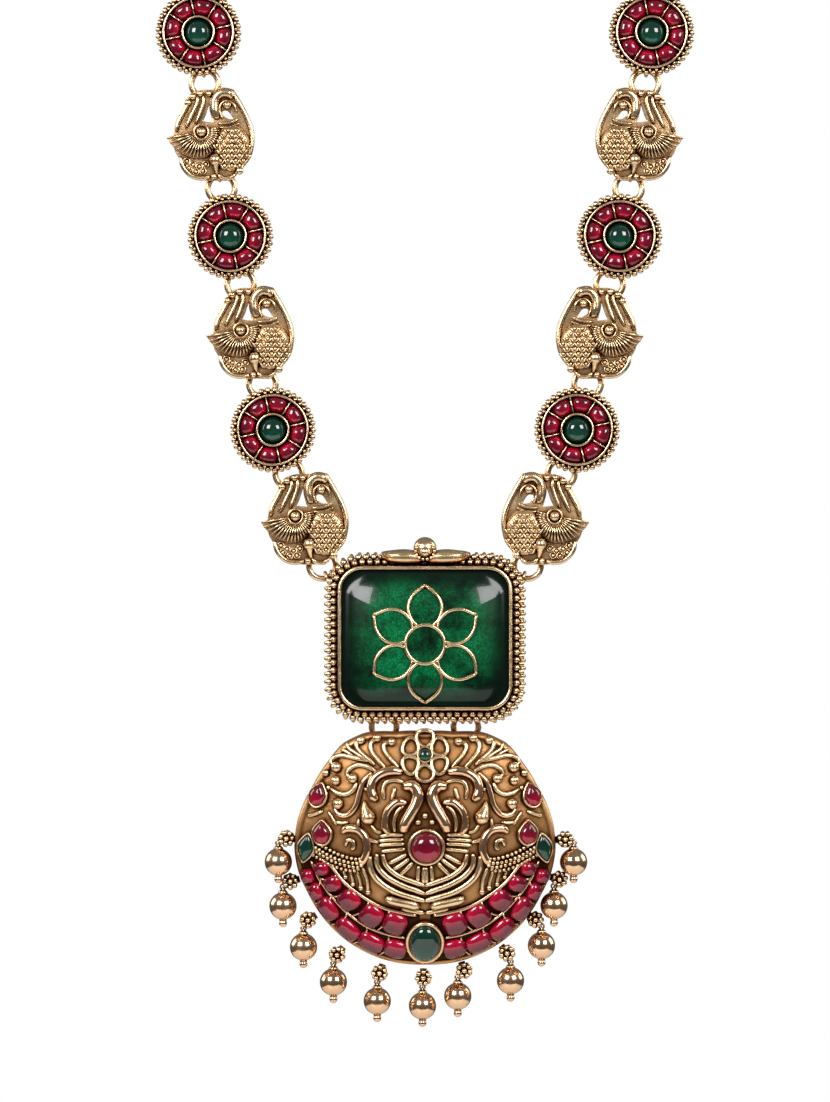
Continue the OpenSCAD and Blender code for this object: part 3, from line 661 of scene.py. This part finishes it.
# peacock of the right strand, tail to the viewer's right
peacock = {
    "plate": [(-4.4, 9.2), (-1.6, 9.1), (0.4, 9.1), (2, 9), (3.9, 8.3), (5.1, 6.6), (6.6, 3.4), (7.3, 0.9),
              (7.2, -2.6), (6.3, -4.4), (5.7, -6.4), (3.8, -8.3), (0.6, -8.8), (-0.8, -8.8), (-3.7, -8.7),
              (-4.9, -7.8), (-5.8, -6.4), (-7.7, -4.2), (-8.4, -1.5), (-8.2, 1.1), (-7.2, 3.8), (-5.3, 7)],
    "slot": [(0.3, 6.6), (1.2, 4.2), (1.6, 2.9), (-0.3, 2.7), (0, 4.6)],
    "hole": [(-4.5, 3.5), (-3.4, 5.1), (-2.2, 5), (-2.4, 4), (-3.6, 3.2)],
    # fan: reach at each angle
    "fan": [(165, 3.5), (190, 3.9), (228, 4.2), (257, 5), (282, 5.3), (305, 5.6), (331, 6.2), (350, 6.9)],
    "fanMiddle": (1.9, 0.7), "ribs": 22, "ribWire": [0.1, 0.17, 0.22],
    # rib: inner end's distance and height, outer end's height, arch; plate: from, to; ring: radius, height, wire
    "rib": (1.5, 1, 0.55, 0.25), "fanPlate": (-0.3, 0.55), "fanRing": (1.45, 1, 0.2), "fanBall": 0.95,
    # strokes: thickness and points
    "strokes": [
        (0.5, [(-4.3, 9), (-5.4, 7), (-7.1, 3.8), (-8.1, 1.1), (-8.2, -1.5), (-7.5, -4.2), (-5.8, -6.4),
               (-4.9, -7.6)]),
        (0.42, [(-4.9, -7.6), (-3.8, -8.5), (-2.2, -8.4), (-1.4, -7.7)]),
        (0.48, [(0.2, -8.2), (2, -8.5), (3.9, -8), (5.5, -6.3), (6.1, -4.2)]),
        (1, [(-4.3, 7.6), (-3.4, 8.5), (-2, 8.5), (-0.9, 7.4), (-0.7, 5.6), (-1.2, 3.4)]),
        (0.36, [(-5.1, 4.6), (-4.6, 6.2), (-3.2, 7), (-2, 6.2), (-1.7, 4.8), (-2.3, 3.4)]),
        (0.32, [(-5.4, 3.3), (-3.8, 2.6), (-1.4, 2.4)]), (0.28, [(-5.8, 2.5), (-3.9, 1.8), (-1.6, 1.6)]),
        (0.46, [(1.6, 8.2), (1.5, 6.6), (2.1, 4.6), (3, 2.4)]), (0.46, [(2.7, 8), (2.8, 6.4), (3.7, 4.4), (5, 1.6)]),
        (0.5, [(4.2, 7.2), (5.3, 4.9), (6.5, 2.7), (6.9, 0.8)])],
    "balls": [(0.4, 8.4, 0.62), (2.1, 8.4, 0.66), (3.6, 7.8, 0.7), (4.6, 6.6, 0.7), (-3.2, 6.1, 0.85),
              (-5.7, -7, 0.8), (-0.6, -8.2, 0.6), (-0.9, -4.8, 1.25)],
    "tail": [(-0.9, -4.8, 0.7), (-1, -6.2, 0.5), (-1.25, -7.7, 0.2)],
    "grains": [(1, -5.7), (2.3, -6.2), (3.6, -5.8), (4.8, -5.1), (1.6, -7.1), (3, -7.2), (4.4, -6.5)],
    # grain: radius, then its ring's radius and wire
    "grain": (0.38, 0.62, 0.16),
    # body: middle, half sizes and rise; its scales stand in rows
    "top": 0.6, "body": (-4.2, -2.5, 3.9, 4.7, 1.5),
    "scale": {"rows": 9, "columns": 6, "step": 1.5, "left": -8, "top": 1, "within": 0.8, "ball": 0.38,
              "loop": 0.66, "wire": 0.24}}


def lookUp(table, at):
    for (a, u), (b, v) in zip(table, table[1:]):
        if at <= b:
            return u + (v - u) * max(0, at - a) / (b - a)
    return table[-1][1]


def bodyScales(bm, place):
    cx, cy, rx, ry, rise = peacock["body"]
    scale, loops = peacock["scale"], []
    for row in range(scale["rows"]):
        y = scale["top"] - row
        for column in range(scale["columns"]):
            x = scale["left"] + scale["step"] * (column + 0.5 * (row % 2))
            inside = ((x - cx) / rx) ** 2 + ((y - cy) / ry) ** 2
            if inside < scale["within"]:
                z = peacock["top"] + rise * sqrt(1 - inside) - 0.1
                addBall(bm, (x, y, z + 0.15), scale["ball"], 2, place)
                angles = [radians(170 + 20 * i) for i in range(11)]
                arc = [(x + scale["loop"] * cos(a), y + 0.1 + scale["loop"] * sin(a), z) for a in angles]
                loops.append((arc, scale["wire"], False))
    return loops


def fanRibs(bm, place):
    top, (fx, fy), count = peacock["top"], peacock["fanMiddle"], peacock["ribs"]
    near, high, low, arch = peacock["rib"]
    first, last = peacock["fan"][0][0], peacock["fan"][-1][0]
    rim, ribs = [], []
    for i in range(count):
        angle = first + (last - first) * i / (count - 1)
        d = toward(angle)
        reach = lookUp(peacock["fan"], angle)
        rim.append((fx + reach * d.x, fy + reach * d.y))
        inner = Vector((fx, fy, top + high)) + d * near
        outer = Vector((fx, fy, top + low)) + d * (reach + 0.05)
        ribs.append(([inner, (inner + outer) / 2 + Vector((0, 0, arch)), outer], peacock["ribWire"], False))
    under, over = peacock["fanPlate"]
    addPlate(bm, [[(fx, fy)] + rim], top + under, top + over, 0.05, place)
    radius, rise, wire = peacock["fanRing"]
    ribs.append((around(fx, fy, radius, top + rise, 20), wire, True))
    addBall(bm, (fx, fy, top + 0.95), peacock["fanBall"], 3, place)
    return ribs


def addPeacock(bm, place):
    top = peacock["top"]
    addPlate(bm, [smoothFlat(peacock[key], 4, True) for key in ("plate", "slot", "hole")], -1.0, top, 0.12, place)
    cx, cy, rx, ry, rise = peacock["body"]
    body = place @ Matrix.Translation((cx, cy, top - 0.1)) @ Matrix.Diagonal((rx, ry, rise, 1))
    addBall(bm, (0, 0, 0), 1, 4, body)
    strokes = []
    for thick, points in peacock["strokes"]:
        line = smoothLine([(x, y, top + 0.1) for x, y in points], 6)
        strokes.append((line, taper(len(line), thick, 0.55, 0.6), False))
    strokes += bodyScales(bm, place)
    radius, reach, wire = peacock["grain"]
    for x, y in peacock["grains"]:
        addBall(bm, (x, y, top + 0.25), radius, 2, place)
        strokes.append((around(x, y, reach, top + 0.1, 12), wire, True))
    strokes += fanRibs(bm, place)
    tail = smoothLine([(x, y, top + z) for x, y, z in peacock["tail"]], 5)
    strokes.append((tail, [1.05 - 0.85 * i / (len(tail) - 1) for i in range(len(tail))], False))
    addWires(bm, strokes, place, 2)
    for x, y, r in peacock["balls"]:
        addBall(bm, (x, y, top + 0.35 * r + 0.1), r, 3, place)


for side in sides:
    places, lugs = strandOf(side)[:2]
    for k in (1, 2, 3):
        bm = bmesh.new()
        addPeacock(bm, Matrix.Translation(places[2 * k - 2]) @ mirrored(sides[side]))
        addLugs(bm, lugs[2 * k - 2])
        finishPiece("peacockLink_%s_%d" % (side, k), bm, antiqueGold, "necklace", ["peacock_%s_%d" % (side, k)])
        makeDisc(side, k, places[2 * k - 1], lugs[2 * k - 1])
print("strands made")


# pendant, drawn about its middle and leaned back as the CAD's
pendant = {
    "halfWide": 26.2, "dome": 8, "rim": 2, "wall": 1.3, "lean": 9, "gap": 1.5, "back": 1, "ringDrop": 5,
    # bar at the top: half length, down from the top, height and radius
    "topBar": (9.5, 1.9, 0.3, 0.9),
    # share of half the width that the outline reaches at each angle from straight up
    "outline": [(0, .905), (14, .93), (27, 1.005), (38, 1.027), (48, 1), (60, .985), (80, 1), (90, 1), (100, .985),
                (111, .958), (136, .935), (180, .90)],
    # top flower: middle, then petals' place, half length, half width and wire
    "flower": (0, 19.5), "petal": (3.25, 1.6, 1.7, 0.42),
    # grained band: rows as up and shift; grain: radius and what chance adds
    "grainPitch": 0.78, "grainRows": [(-1.3, 0), (-0.5, 0.39), (0.3, 0), (1.1, 0.39)], "grainSeed": 7,
    "grain": (0.4, 0.05),
    "middleBalls": [(0, 8, 0.62), (-1.4, 6.7, 0.58), (1.4, 6.7, 0.58)]}
pendantRise = -(plaque["tall"] / 2 + pendant["gap"] + pendant["outline"][0][1] * pendant["halfWide"])
hung = (Matrix.Translation((0, pendantHinge, -ringBack)) @ Matrix.Rotation(radians(pendant["lean"]), 4, "X")
        @ Matrix.Translation((0, pendantRise - pendantHinge, ringBack - pendant["back"])))


def outlineReach(x, y):
    return lookUp(pendant["outline"], abs(degrees(atan2(x, y)))) * pendant["halfWide"]


def domeHeight(x, y):
    share = min(1.0, hypot(x, y) / outlineReach(x, y))
    return pendant["rim"] + (pendant["dome"] - pendant["rim"]) * (1 - share ** 2.2)


def onDome(x, y, spin=0.0, lift=0.0):
    step = 0.3
    normal = Vector((domeHeight(x - step, y) - domeHeight(x + step, y),
                     domeHeight(x, y - step) - domeHeight(x, y + step), 2 * step))
    tilt = Vector((0, 0, 1)).rotation_difference(normal.normalized()).to_matrix().to_4x4()
    return hung @ Matrix.Translation((x, y, domeHeight(x, y))) @ tilt @ Matrix.Translation((0, 0, lift)) @ spun(spin)


def makeDome():
    bm = bmesh.new()
    count = 160

    def ring(share, z=None):
        points = []
        for i in range(count):
            a = tau * (i + 0.5) / count
            d = Vector((-sin(a), cos(a)))
            p = d * outlineReach(*d) * share
            points.append(hung @ Vector((*p, domeHeight(*p) + z if z is not None else 0)))
        return points

    inner = -pendant["wall"]
    edge = 0.945
    loops = [ring(edge), ring(1.0), ring(1.0, 0), ring(0.985, 0.25), ring(0.965, 0.2), ring(0.955, -0.1)]
    loops += [ring(s, 0) for s in (0.93, 0.88, 0.82, 0.75, 0.67, 0.58, 0.48, 0.37, 0.25, 0.13, 0.02)]
    addLoops(bm, loops, capLast=True)
    hollow = [ring(edge), ring(edge, inner)] + [ring(s, inner) for s in (0.9, 0.8, 0.67, 0.5, 0.3, 0.1, 0.02)]
    addLoops(bm, hollow, capLast=True)
    across, down, high, thick = pendant["topBar"]
    level = pendant["outline"][0][1] * pendant["halfWide"] - down
    addWires(bm, [([(-across, level, high), (across, level, high)], thick, False)], hung, 3)
    for side in (-1, 1):
        at = (side * plaque["lugs"], pendantHinge - pendant["ringDrop"] - pendantRise, pendant["back"] - ringBack)
        addRing(bm, at, strand["lug"], strand["lugWire"], "X", hung)
    finishPiece("pendantDome", bm, groundGold, "pendant", ["pendant_shell"])


# relief of the left side: thickness, end ball's radius, points across and up in mm
relief = [
    (0.45, 0, [(-8.1, 11.2), (-8.4, 12.9), (-7.8, 14.4), (-6, 14.9), (-4.2, 14.4)]),
    (0.45, 0, [(-4.2, 9.9), (-5.5, 8.8), (-6.2, 6.8), (-6, 4.7)]),
    (0.45, 0, [(-13.2, 7.2), (-13.2, 4.8), (-11.8, 3.3), (-9.3, 2.5)]),
    (0.42, 0, [(-4.3, 4.1), (-6.9, 4.1), (-9, 3.7)]), (0.42, 0, [(-4.2, 3.2), (-6.9, 3.1), (-9.3, 2.8)]),
    (0.42, 0, [(-4.1, 2.3), (-6.7, 2.2), (-9.3, 1.9)]), (0.42, 0, [(-3.9, 1.3), (-6.5, 1), (-8.8, 0.7)]),
    (0.45, 0, [(-3.7, 0.2), (-5.3, -0.7), (-7.3, -1.8)]), (0.45, 0, [(-3.1, -0.6), (-4.7, -1.9), (-6.4, -3)]),
    (0.45, 0, [(-2.4, -1.4), (-3.7, -2.8), (-5, -4.1)]), (0.45, 0, [(-1.2, -2.1), (-1.4, -3.8), (-1.4, -5.4)]),
    (0.45, 0, [(-0.2, -2.4), (-0.3, -4), (-0.3, -5.8)]),
    (0.55, 0, [(-8.4, 0.2), (-7.8, -2), (-5.5, -4.1), (-2.4, -5.4), (0, -6.2)]),
    (0.62, 0, [(-9.6, 0.2), (-9.5, -2.1), (-7.8, -4.3), (-4.7, -6.1), (-2, -7.1), (0, -7.9)]),
    (0.68, 0, [(-11, -0.3), (-10.8, -2.8), (-9.3, -5.3), (-6, -7.5), (-2.4, -8.7), (0, -9.4)]),
    (0.95, 0, [(-7.8, -9), (-5.6, -9.6), (-3.1, -10.1), (-1.2, -10.6)]),
    (0.5, 0, [(-4.7, -11.1), (-2.2, -11.6), (-0.1, -12)]),
    (0.36, 0.45, [(-16.3, -3.6), (-16, -4.3), (-15.9, -4.9)]),
    (0.36, 0.5, [(-14.9, -3.6), (-14.5, -5.1), (-14.4, -6.3)]),
    (0.36, 0.55, [(-13.7, -3.4), (-13, -5.3), (-12.8, -7)]),
    (0.4, 0.6, [(-12.6, -2.6), (-11.6, -5), (-11.4, -7.8)]),
    (0.42, 0, [(-15.9, 1.5), (-15.5, 2.7), (-14.4, 2.6), (-14.2, 1.4), (-14.8, 0.8)]),
    (0.5, 1, [(-9.6, 16.3), (-11.3, 17.3), (-13.4, 17.6), (-15, 16.8), (-15.5, 15.6), (-14.4, 15)]),
    (0.5, 1.1, [(-11.3, 18.4), (-13.8, 18.9), (-16.5, 19.3), (-18.1, 18.8), (-18.7, 17.7), (-17.7, 17)]),
    (0.5, 0, [(-13.7, 14.2), (-14.2, 12.8), (-15.8, 11.8), (-17.6, 12), (-18.9, 12.8)]),
    (0.5, 0.85, [(-5.2, 17.1), (-7, 19), (-8.1, 20.5), (-8.1, 21.7), (-6.7, 22.1)]),
    (0.5, 0.85, [(-7.7, 16.9), (-9.5, 18.8), (-10.7, 20.4), (-10.8, 21.8), (-9.6, 22.8)]),
    (0.48, 0.85, [(-10, 17.7), (-11.8, 19.2), (-13.3, 20.6), (-13.7, 21.7), (-12.8, 22.3)]),
    (0.38, 0, [(-11.7, 18.6), (-13.7, 19.8), (-15.3, 20.8), (-15.5, 21.8)]),
    (0.36, 0, [(-14.4, 19.3), (-15.8, 20.1), (-16.8, 20.4)]), (0.4, 0, [(-23.4, 7), (-21.9, 7.5), (-20.4, 8.2)]),
    (0.36, 0, [(-19.3, 8.2), (-18.3, 6.5), (-17.6, 5.7)]), (0.36, 0, [(-18, 6.2), (-16.5, 6.1), (-15.3, 6.3)]),
    (0.36, 0, [(-10.8, 6), (-10, 4.9), (-8.7, 4.4)]), (0.4, 0, [(-6, 13.4), (-6.3, 12.1), (-6.7, 11)]),
    (0.34, 0, [(-23, 1.7), (-21.4, -0.5), (-20.3, -1.4)])]
# polished arches and necks, as in relief
arms = [
    (1, 0, [(-4.6, 16.4), (-6.7, 16.7), (-8.7, 16.2), (-10.2, 15), (-10.8, 13.3), (-10.4, 11.8), (-9.6, 11)]),
    (1.25, 0, [(-4.3, 13.7), (-2.5, 13.8), (-1.4, 12.3), (-1.8, 10.4), (-2.9, 8.4), (-4, 6.4), (-4.3, 4.8)]),
    (0.8, 0, [(-3.7, 10.5), (-5.5, 10.7), (-7.1, 9.4), (-7.9, 7.7), (-8, 5.9), (-7.3, 4.3)]),
    (0.58, 0, [(-10.7, 16.3), (-12.2, 14.5), (-13.1, 12.1), (-13.8, 9.6), (-15.4, 7.8), (-17.2, 7.8), (-18.1, 8.9)]),
    (0.85, 0, [(-16.6, 4.3), (-15.4, 5.1), (-13.3, 4.9), (-11.9, 3.3), (-11.5, 1.1), (-12.2, -1), (-13.1, -2.3)])]
# balls: across, up and radius
loneBalls = [(-19.8, 15.7, 0.75), (-17.8, 14.4, 1), (-17.4, 9.9, 1.15), (-19.3, 12.9, 0.5),
             (-11.8, 13, 0.4), (-7.8, 5, 0.35)]
# bud: across, up, radius and tip
buds = [(-11.3, 7.5, 1.45, (-12.1, 10.6))]
# middle of the grained band
grainBand = [(-21.9, 0.6), (-20.5, -0.2), (-18.9, -1), (-17.2, -1.6), (-15.4, -2), (-13.8, -2.1), (-12.8, -1.6)]


def lifted(points, rise, side):
    return [Vector((x * side, y, domeHeight(x, y) + rise)) for x, y in points]


def reliefStrokes(bm, rows, side):
    strokes = []
    for thick, ball, points in rows:
        line = lifted(smoothFlat(points), 0.35 * thick, side)
        strokes.append((line, taper(len(line), thick, 0.6, 0.9 if ball else 0.6), False))
        if ball:
            addBall(bm, line[-1] + Vector((0, 0, 0.2 * ball)), ball, 3, hung)
    return strokes


def makeArms():
    bm = bmesh.new()
    for side in (-1, 1):
        addWires(bm, reliefStrokes(bm, arms, side), hung, 3)
    finishPiece("pendantArms", bm, polishedGold, "pendant")


def evenlyOpen(points, pitch):
    line = smoothLine([(x, y, 0) for x, y in points], 12)
    out, since = [line[0].xy], 0.0
    for a, b in zip(line, line[1:]):
        since += (b - a).length
        if since >= pitch:
            out.append(b.xy)
            since = 0.0
    return out


def addGrainBand(bm, side):
    random.seed(pendant["grainSeed"])
    radius, more = pendant["grain"]
    for x, y in evenlyOpen(grainBand, pendant["grainPitch"]):
        for row, shift in pendant["grainRows"]:
            rise = 0.45 + 0.3 * (1.3 - abs(row))
            at = lifted([(x + shift + row * 0.3, y + row)], rise, side)[0]
            addBall(bm, at, radius + more * random.random(), 2, hung)


def budStroke(bm, row, side):
    x, y, radius, tip = row
    bend = ((x + tip[0]) / 2 - 0.2, (y + tip[1]) / 2)
    line = lifted(smoothFlat([(x, y), bend, tip], 5), 0.4, side)
    addBall(bm, line[0], radius, 3, hung)
    return line, [radius * (1 - i / len(line)) ** 0.9 + 0.08 for i in range(len(line))], False


def flowerPetals():
    away, halfLong, halfWide, wire = pendant["petal"]
    petals = []
    for k in range(6):
        d, n = toward(90 + 60 * k), toward(180 + 60 * k)
        loop = []
        for i in range(22):
            t = tau * i / 22
            p = Vector((*pendant["flower"], 0)) + d * (away + halfLong * cos(t))
            p += n * halfWide * sin(t) * (1 + 0.25 * cos(t))
            loop.append(p.xy)
        petals.append((lifted(loop, 0.4, 1), wire, True))
    return petals


def makeRelief():
    bm = bmesh.new()
    for side in (-1, 1):
        strokes = reliefStrokes(bm, relief, -side)
        strokes += [budStroke(bm, row, -side) for row in buds]
        addWires(bm, strokes, hung, 3)
        for x, y, radius in loneBalls:
            addBall(bm, lifted([(x, y)], 0.3, -side)[0], radius, 3, hung)
        addGrainBand(bm, -side)
    for x, y, radius in pendant["middleBalls"]:
        addBall(bm, lifted([(x, y)], 0.4, 1)[0], radius, 3, hung)
    addWires(bm, flowerPetals(), hung, 3)
    finishPiece("pendantRelief", bm, antiqueGold, "pendant", ["pendant_shell"])


# pendant's stones in the middle and on the right: across, up, wide, tall, height, point, turn, wall
gems = {"round_ruby": (0.26, 1.7, 6, 6, 3, 0, 0, 0.75), "oval_emerald": (0, -18.21, 6.3, 8.4, 3, 0, 0, 0.75),
        "flower_emerald": (0, 19.52, 2.6, 2.6, 1.6, 0, 0, 0.4)}
sideGems = {"leaf_emerald": (23.58, 0.66, 3.2, 5.6, 1.6, 2, 12, 0.45),
            "teardrop_ruby_upper": (21.14, 11.27, 3.4, 4.6, 2, 1, 18, 0.45),
            "teardrop_ruby_lower": (20.41, 3.93, 3.6, 4.6, 2, 1, 0, 0.45)}
# crescent's stones: angle from straight up, share of the outline's reach, width and height; edges: angle and share
crescent = {
    "outer": [(102.5, .935, 2.6, 2.6), (110.8, .929, 3.2, 2.7), (121.4, .91, 4.6, 3.3), (135.9, .904, 4.9, 3.4),
              (149.9, .888, 4.8, 3.6), (163.4, .864, 4.2, 3.7)],
    "inner": [(99.3, .81, 2.6, 2.9), (109, .771, 3, 3.3), (122.4, .721, 3.9, 4.1), (140, .683, 4.1, 4.4),
              (157.2, .645, 4.2, 4.3)],
    "inside": [(94, .80), (98, .735), (110, .685), (124, .62), (141, .572), (159, .535), (172, .53)],
    "divide": [(95, .88), (104, .862), (116, .833), (129, .806), (143, .785), (156, .762), (167, .75)],
    "outside": [(96, .985), (104, .99), (130, .985), (155, .98), (175, .975)],
    "from": 94, "sweep": 81, "slices": 40, "edgeWire": 0.34, "divideWire": 0.27, "crossWire": 0.2,
    "grow": 1.17, "tall": 1.8, "square": 0.72}


def addSetting(walls, stones, row, side):
    x, y, w, h, depth, point, spin, wall = row
    rise = 0.9
    place = mirrored(side) @ onDome(x, y, spin, 0.1)
    shape = stoneShape(w, h, point)
    profile = [(0.0, -1.2), (0.0, rise - 0.15), (0.12, rise), (wall - 0.15, rise - 0.02), (wall, rise - 0.25),
               (wall, -1.2)]
    addBand(walls, shape, profile, place)
    addStone(stones, shape, depth * 0.95, place, -0.02)


def polar(angle, share):
    a = radians(angle)
    reach = share * pendant["halfWide"] * lookUp(pendant["outline"], angle)
    return reach * sin(a), reach * cos(a)


def across(low, high, angle, bend=0.0, steps=5):
    near, far = lookUp(crescent[low], angle), lookUp(crescent[high], angle)
    return [polar(angle + bend * sin(pi * k / steps), near + (far - near) * k / steps)
            for k in range(steps + 1)]


def makeCrescent():
    ground, wires = bmesh.new(), bmesh.new()
    for side in (-1, 1):
        loops = []
        for i in range(crescent["slices"] + 1):
            angle = crescent["from"] + crescent["sweep"] * i / crescent["slices"]
            upper = lifted(across("inside", "outside", angle, steps=6), 0.12, 1)
            section = upper + [q - Vector((0, 0, 0.5)) for q in upper[::-1]]
            loops.append([hung @ mirrored(side) @ p for p in section])
        addLoops(ground, loops, capFirst=True, capLast=True)
        lines = []
        for edge, thick in (("inside", crescent["edgeWire"]), ("divide", crescent["divideWire"])):
            run = smoothFlat([polar(*p) for p in crescent[edge]])
            lines.append((lifted(run, 0.45, side), thick, False))
        for row, low, high in (("outer", "divide", "outside"), ("inner", "inside", "divide")):
            for a, b in zip(crescent[row], crescent[row][1:]):
                run = across(low, high, (a[0] + b[0]) / 2, 2.2)
                lines.append((lifted(run, 0.5, side), crescent["crossWire"], False))
        addWires(wires, lines, hung, 2)
    finishPiece("crescentGround", ground, darkGold, "pendant")
    finishPiece("crescentWires", wires, polishedGold, "pendant")


def finishStone(name, stones, node):
    material, kind = (emerald, "emerald") if "emerald" in node else (ruby, "ruby")
    finishPiece(name, stones, material, "pendant", [node])


def makeSettings():
    walls = bmesh.new()
    hands = ((-1, "_left"), (1, "_right"))
    places = [(name, row, 1, "") for name, row in gems.items()]
    places += [(name, row, side, hand) for name, row in sideGems.items() for side, hand in hands]
    for name, row, side, hand in places:
        stones = bmesh.new()
        addSetting(walls, stones, row, side)
        finishStone(name + hand, stones, name + hand)
    grow = crescent["grow"]
    for side, hand in hands:
        stones = bmesh.new()
        for angle, share, w, h in crescent["outer"] + crescent["inner"]:
            place = mirrored(side) @ onDome(*polar(angle, share), -angle, 0.08)
            shape = stoneShape(w * grow, h * grow, 0, 24, crescent["square"])
            addStone(stones, shape, crescent["tall"], place, base=-0.3)
        finishStone("crescentRubies" + hand, stones, "crescent_rubies" + hand)
    finishPiece("pendantBezels", walls, antiqueGold, "pendant")


# ball drops: ball and cluster across and up from the pendant's middle
drops = [(-29.4, -2.7, -28, 1.9), (-28.5, -11.7, -26.8, -6.6), (-24.4, -20.1, -23.3, -14.3),
         (-18.4, -27.3, -17, -20.3), (-9.6, -31.2, -8.9, -24.6), (-.5, -32.2, -.3, -26.2), (6.6, -30.2, 8.3, -24.6),
         (17.2, -27, 16, -20.3), (23.4, -19.8, 22.2, -14.6), (25.9, -11.6, 27, -6.3), (29.8, -2.7, 27.3, 2.2)]
# hang: from the eye down to the ball's middle; reach: from the eye to the cluster's
# layers of the cluster: height, grains and radius; tips: down from the ball's edge, then radius and detail
dropLook = {"ball": 2.75, "hang": 3.85, "reach": 1.83, "grain": 0.52, "eye": (0.52, 0.18), "eyeStep": 0.62,
            "layers": [(1.15, 1, 0), (0.62, 7, 1.15), (-0.35, 8, 1.25), (-1.1, 4, 0.55)],
            "collar": [(0, 0.5), (0.35, 0.15), (0.45, -0.1), (0.3, -0.25)], "tips": [(0.7, 0.8, 4), (0.05, 0.75, 3)]}


def makeDrop(number, row):
    eyeFlat = Vector((row[0], row[1] + dropLook["hang"]))
    heartFlat = eyeFlat + (Vector(row[2:]) - eyeFlat).normalized() * dropLook["reach"]
    heart, eye = hung @ Vector((*heartFlat, 1.0)), hung @ Vector((*eyeFlat, 1.0))
    ball = eye - Vector((0, dropLook["hang"], 0))
    bm = bmesh.new()
    for layer, count, radius in dropLook["layers"]:
        turn = number + pi * (layer < 0) / count
        for at in around(heart.x, heart.y, radius, heart.z + layer, count, turn):
            addBall(bm, at, dropLook["grain"])
    inward = heartFlat * 0.93
    addWires(bm, [([heart, hung @ Vector((*inward, 0.8))], 0.7, False)], roundness=2)
    addRing(bm, eye, *dropLook["eye"], "Z")
    addRing(bm, eye - Vector((0, dropLook["eyeStep"], 0)), *dropLook["eye"], "X")
    radius = dropLook["ball"]
    crown = Matrix.Translation(ball + Vector((0, radius, 0))) @ Matrix.Rotation(-pi / 2, 4, "X")
    addBand(bm, circleShape(0.55, 16), dropLook["collar"], crown)
    finishPiece("dropCluster_%d" % number, bm, antiqueGold, "pendant", ["ball_drop_%d" % number])
    bm = bmesh.new()
    addBall(bm, ball, radius, 5)
    for down, size, detail in dropLook["tips"]:
        addBall(bm, ball - Vector((0, radius + down, 0)), size, detail)
    finishPiece("dropBall_%d" % number, bm, polishedGold, "pendant")


makeDome()
makeArms()
makeRelief()
makeCrescent()
makeSettings()
for number, row in enumerate(drops, 1):
    makeDrop(number, row)
print("pendant made")

# metal of the parts that stay as the CAD's
for name, piece in frame["nodes"].items():
    if name in ("pendant_rings", "rings_left", "rings_right", "chain_left", "chain_right", "clasp_hook"):
        for slot in piece.material_slots:
            slot.material = antiqueGold

# floor
ground = {"below": 0.16, "near": 0.40, "far": 0.24, "wide": 0.7}
bm = bmesh.new()
low = cadBox[0][2] - ground["below"]
bmesh.ops.create_grid(bm, x_segments=2, y_segments=2, size=1.0)
bmesh.ops.transform(bm, verts=bm.verts, matrix=Matrix.Translation((0, (ground["far"] - ground["near"]) / 2, low))
                    @ Matrix.Diagonal((ground["wide"] / 2, (ground["far"] + ground["near"]) / 2, 1, 1)))
floorMaterial = startMaterial("paleFloor", roughness=0.5, Base_Color=(0.85, 0.84, 0.82, 1))[0]
mesh = bpy.data.meshes.new("floor")
bm.to_mesh(mesh)
bm.free()
mesh.materials.append(floorMaterial)
floor = bpy.data.objects.new("floor", mesh)
scene.collection.objects.link(floor)
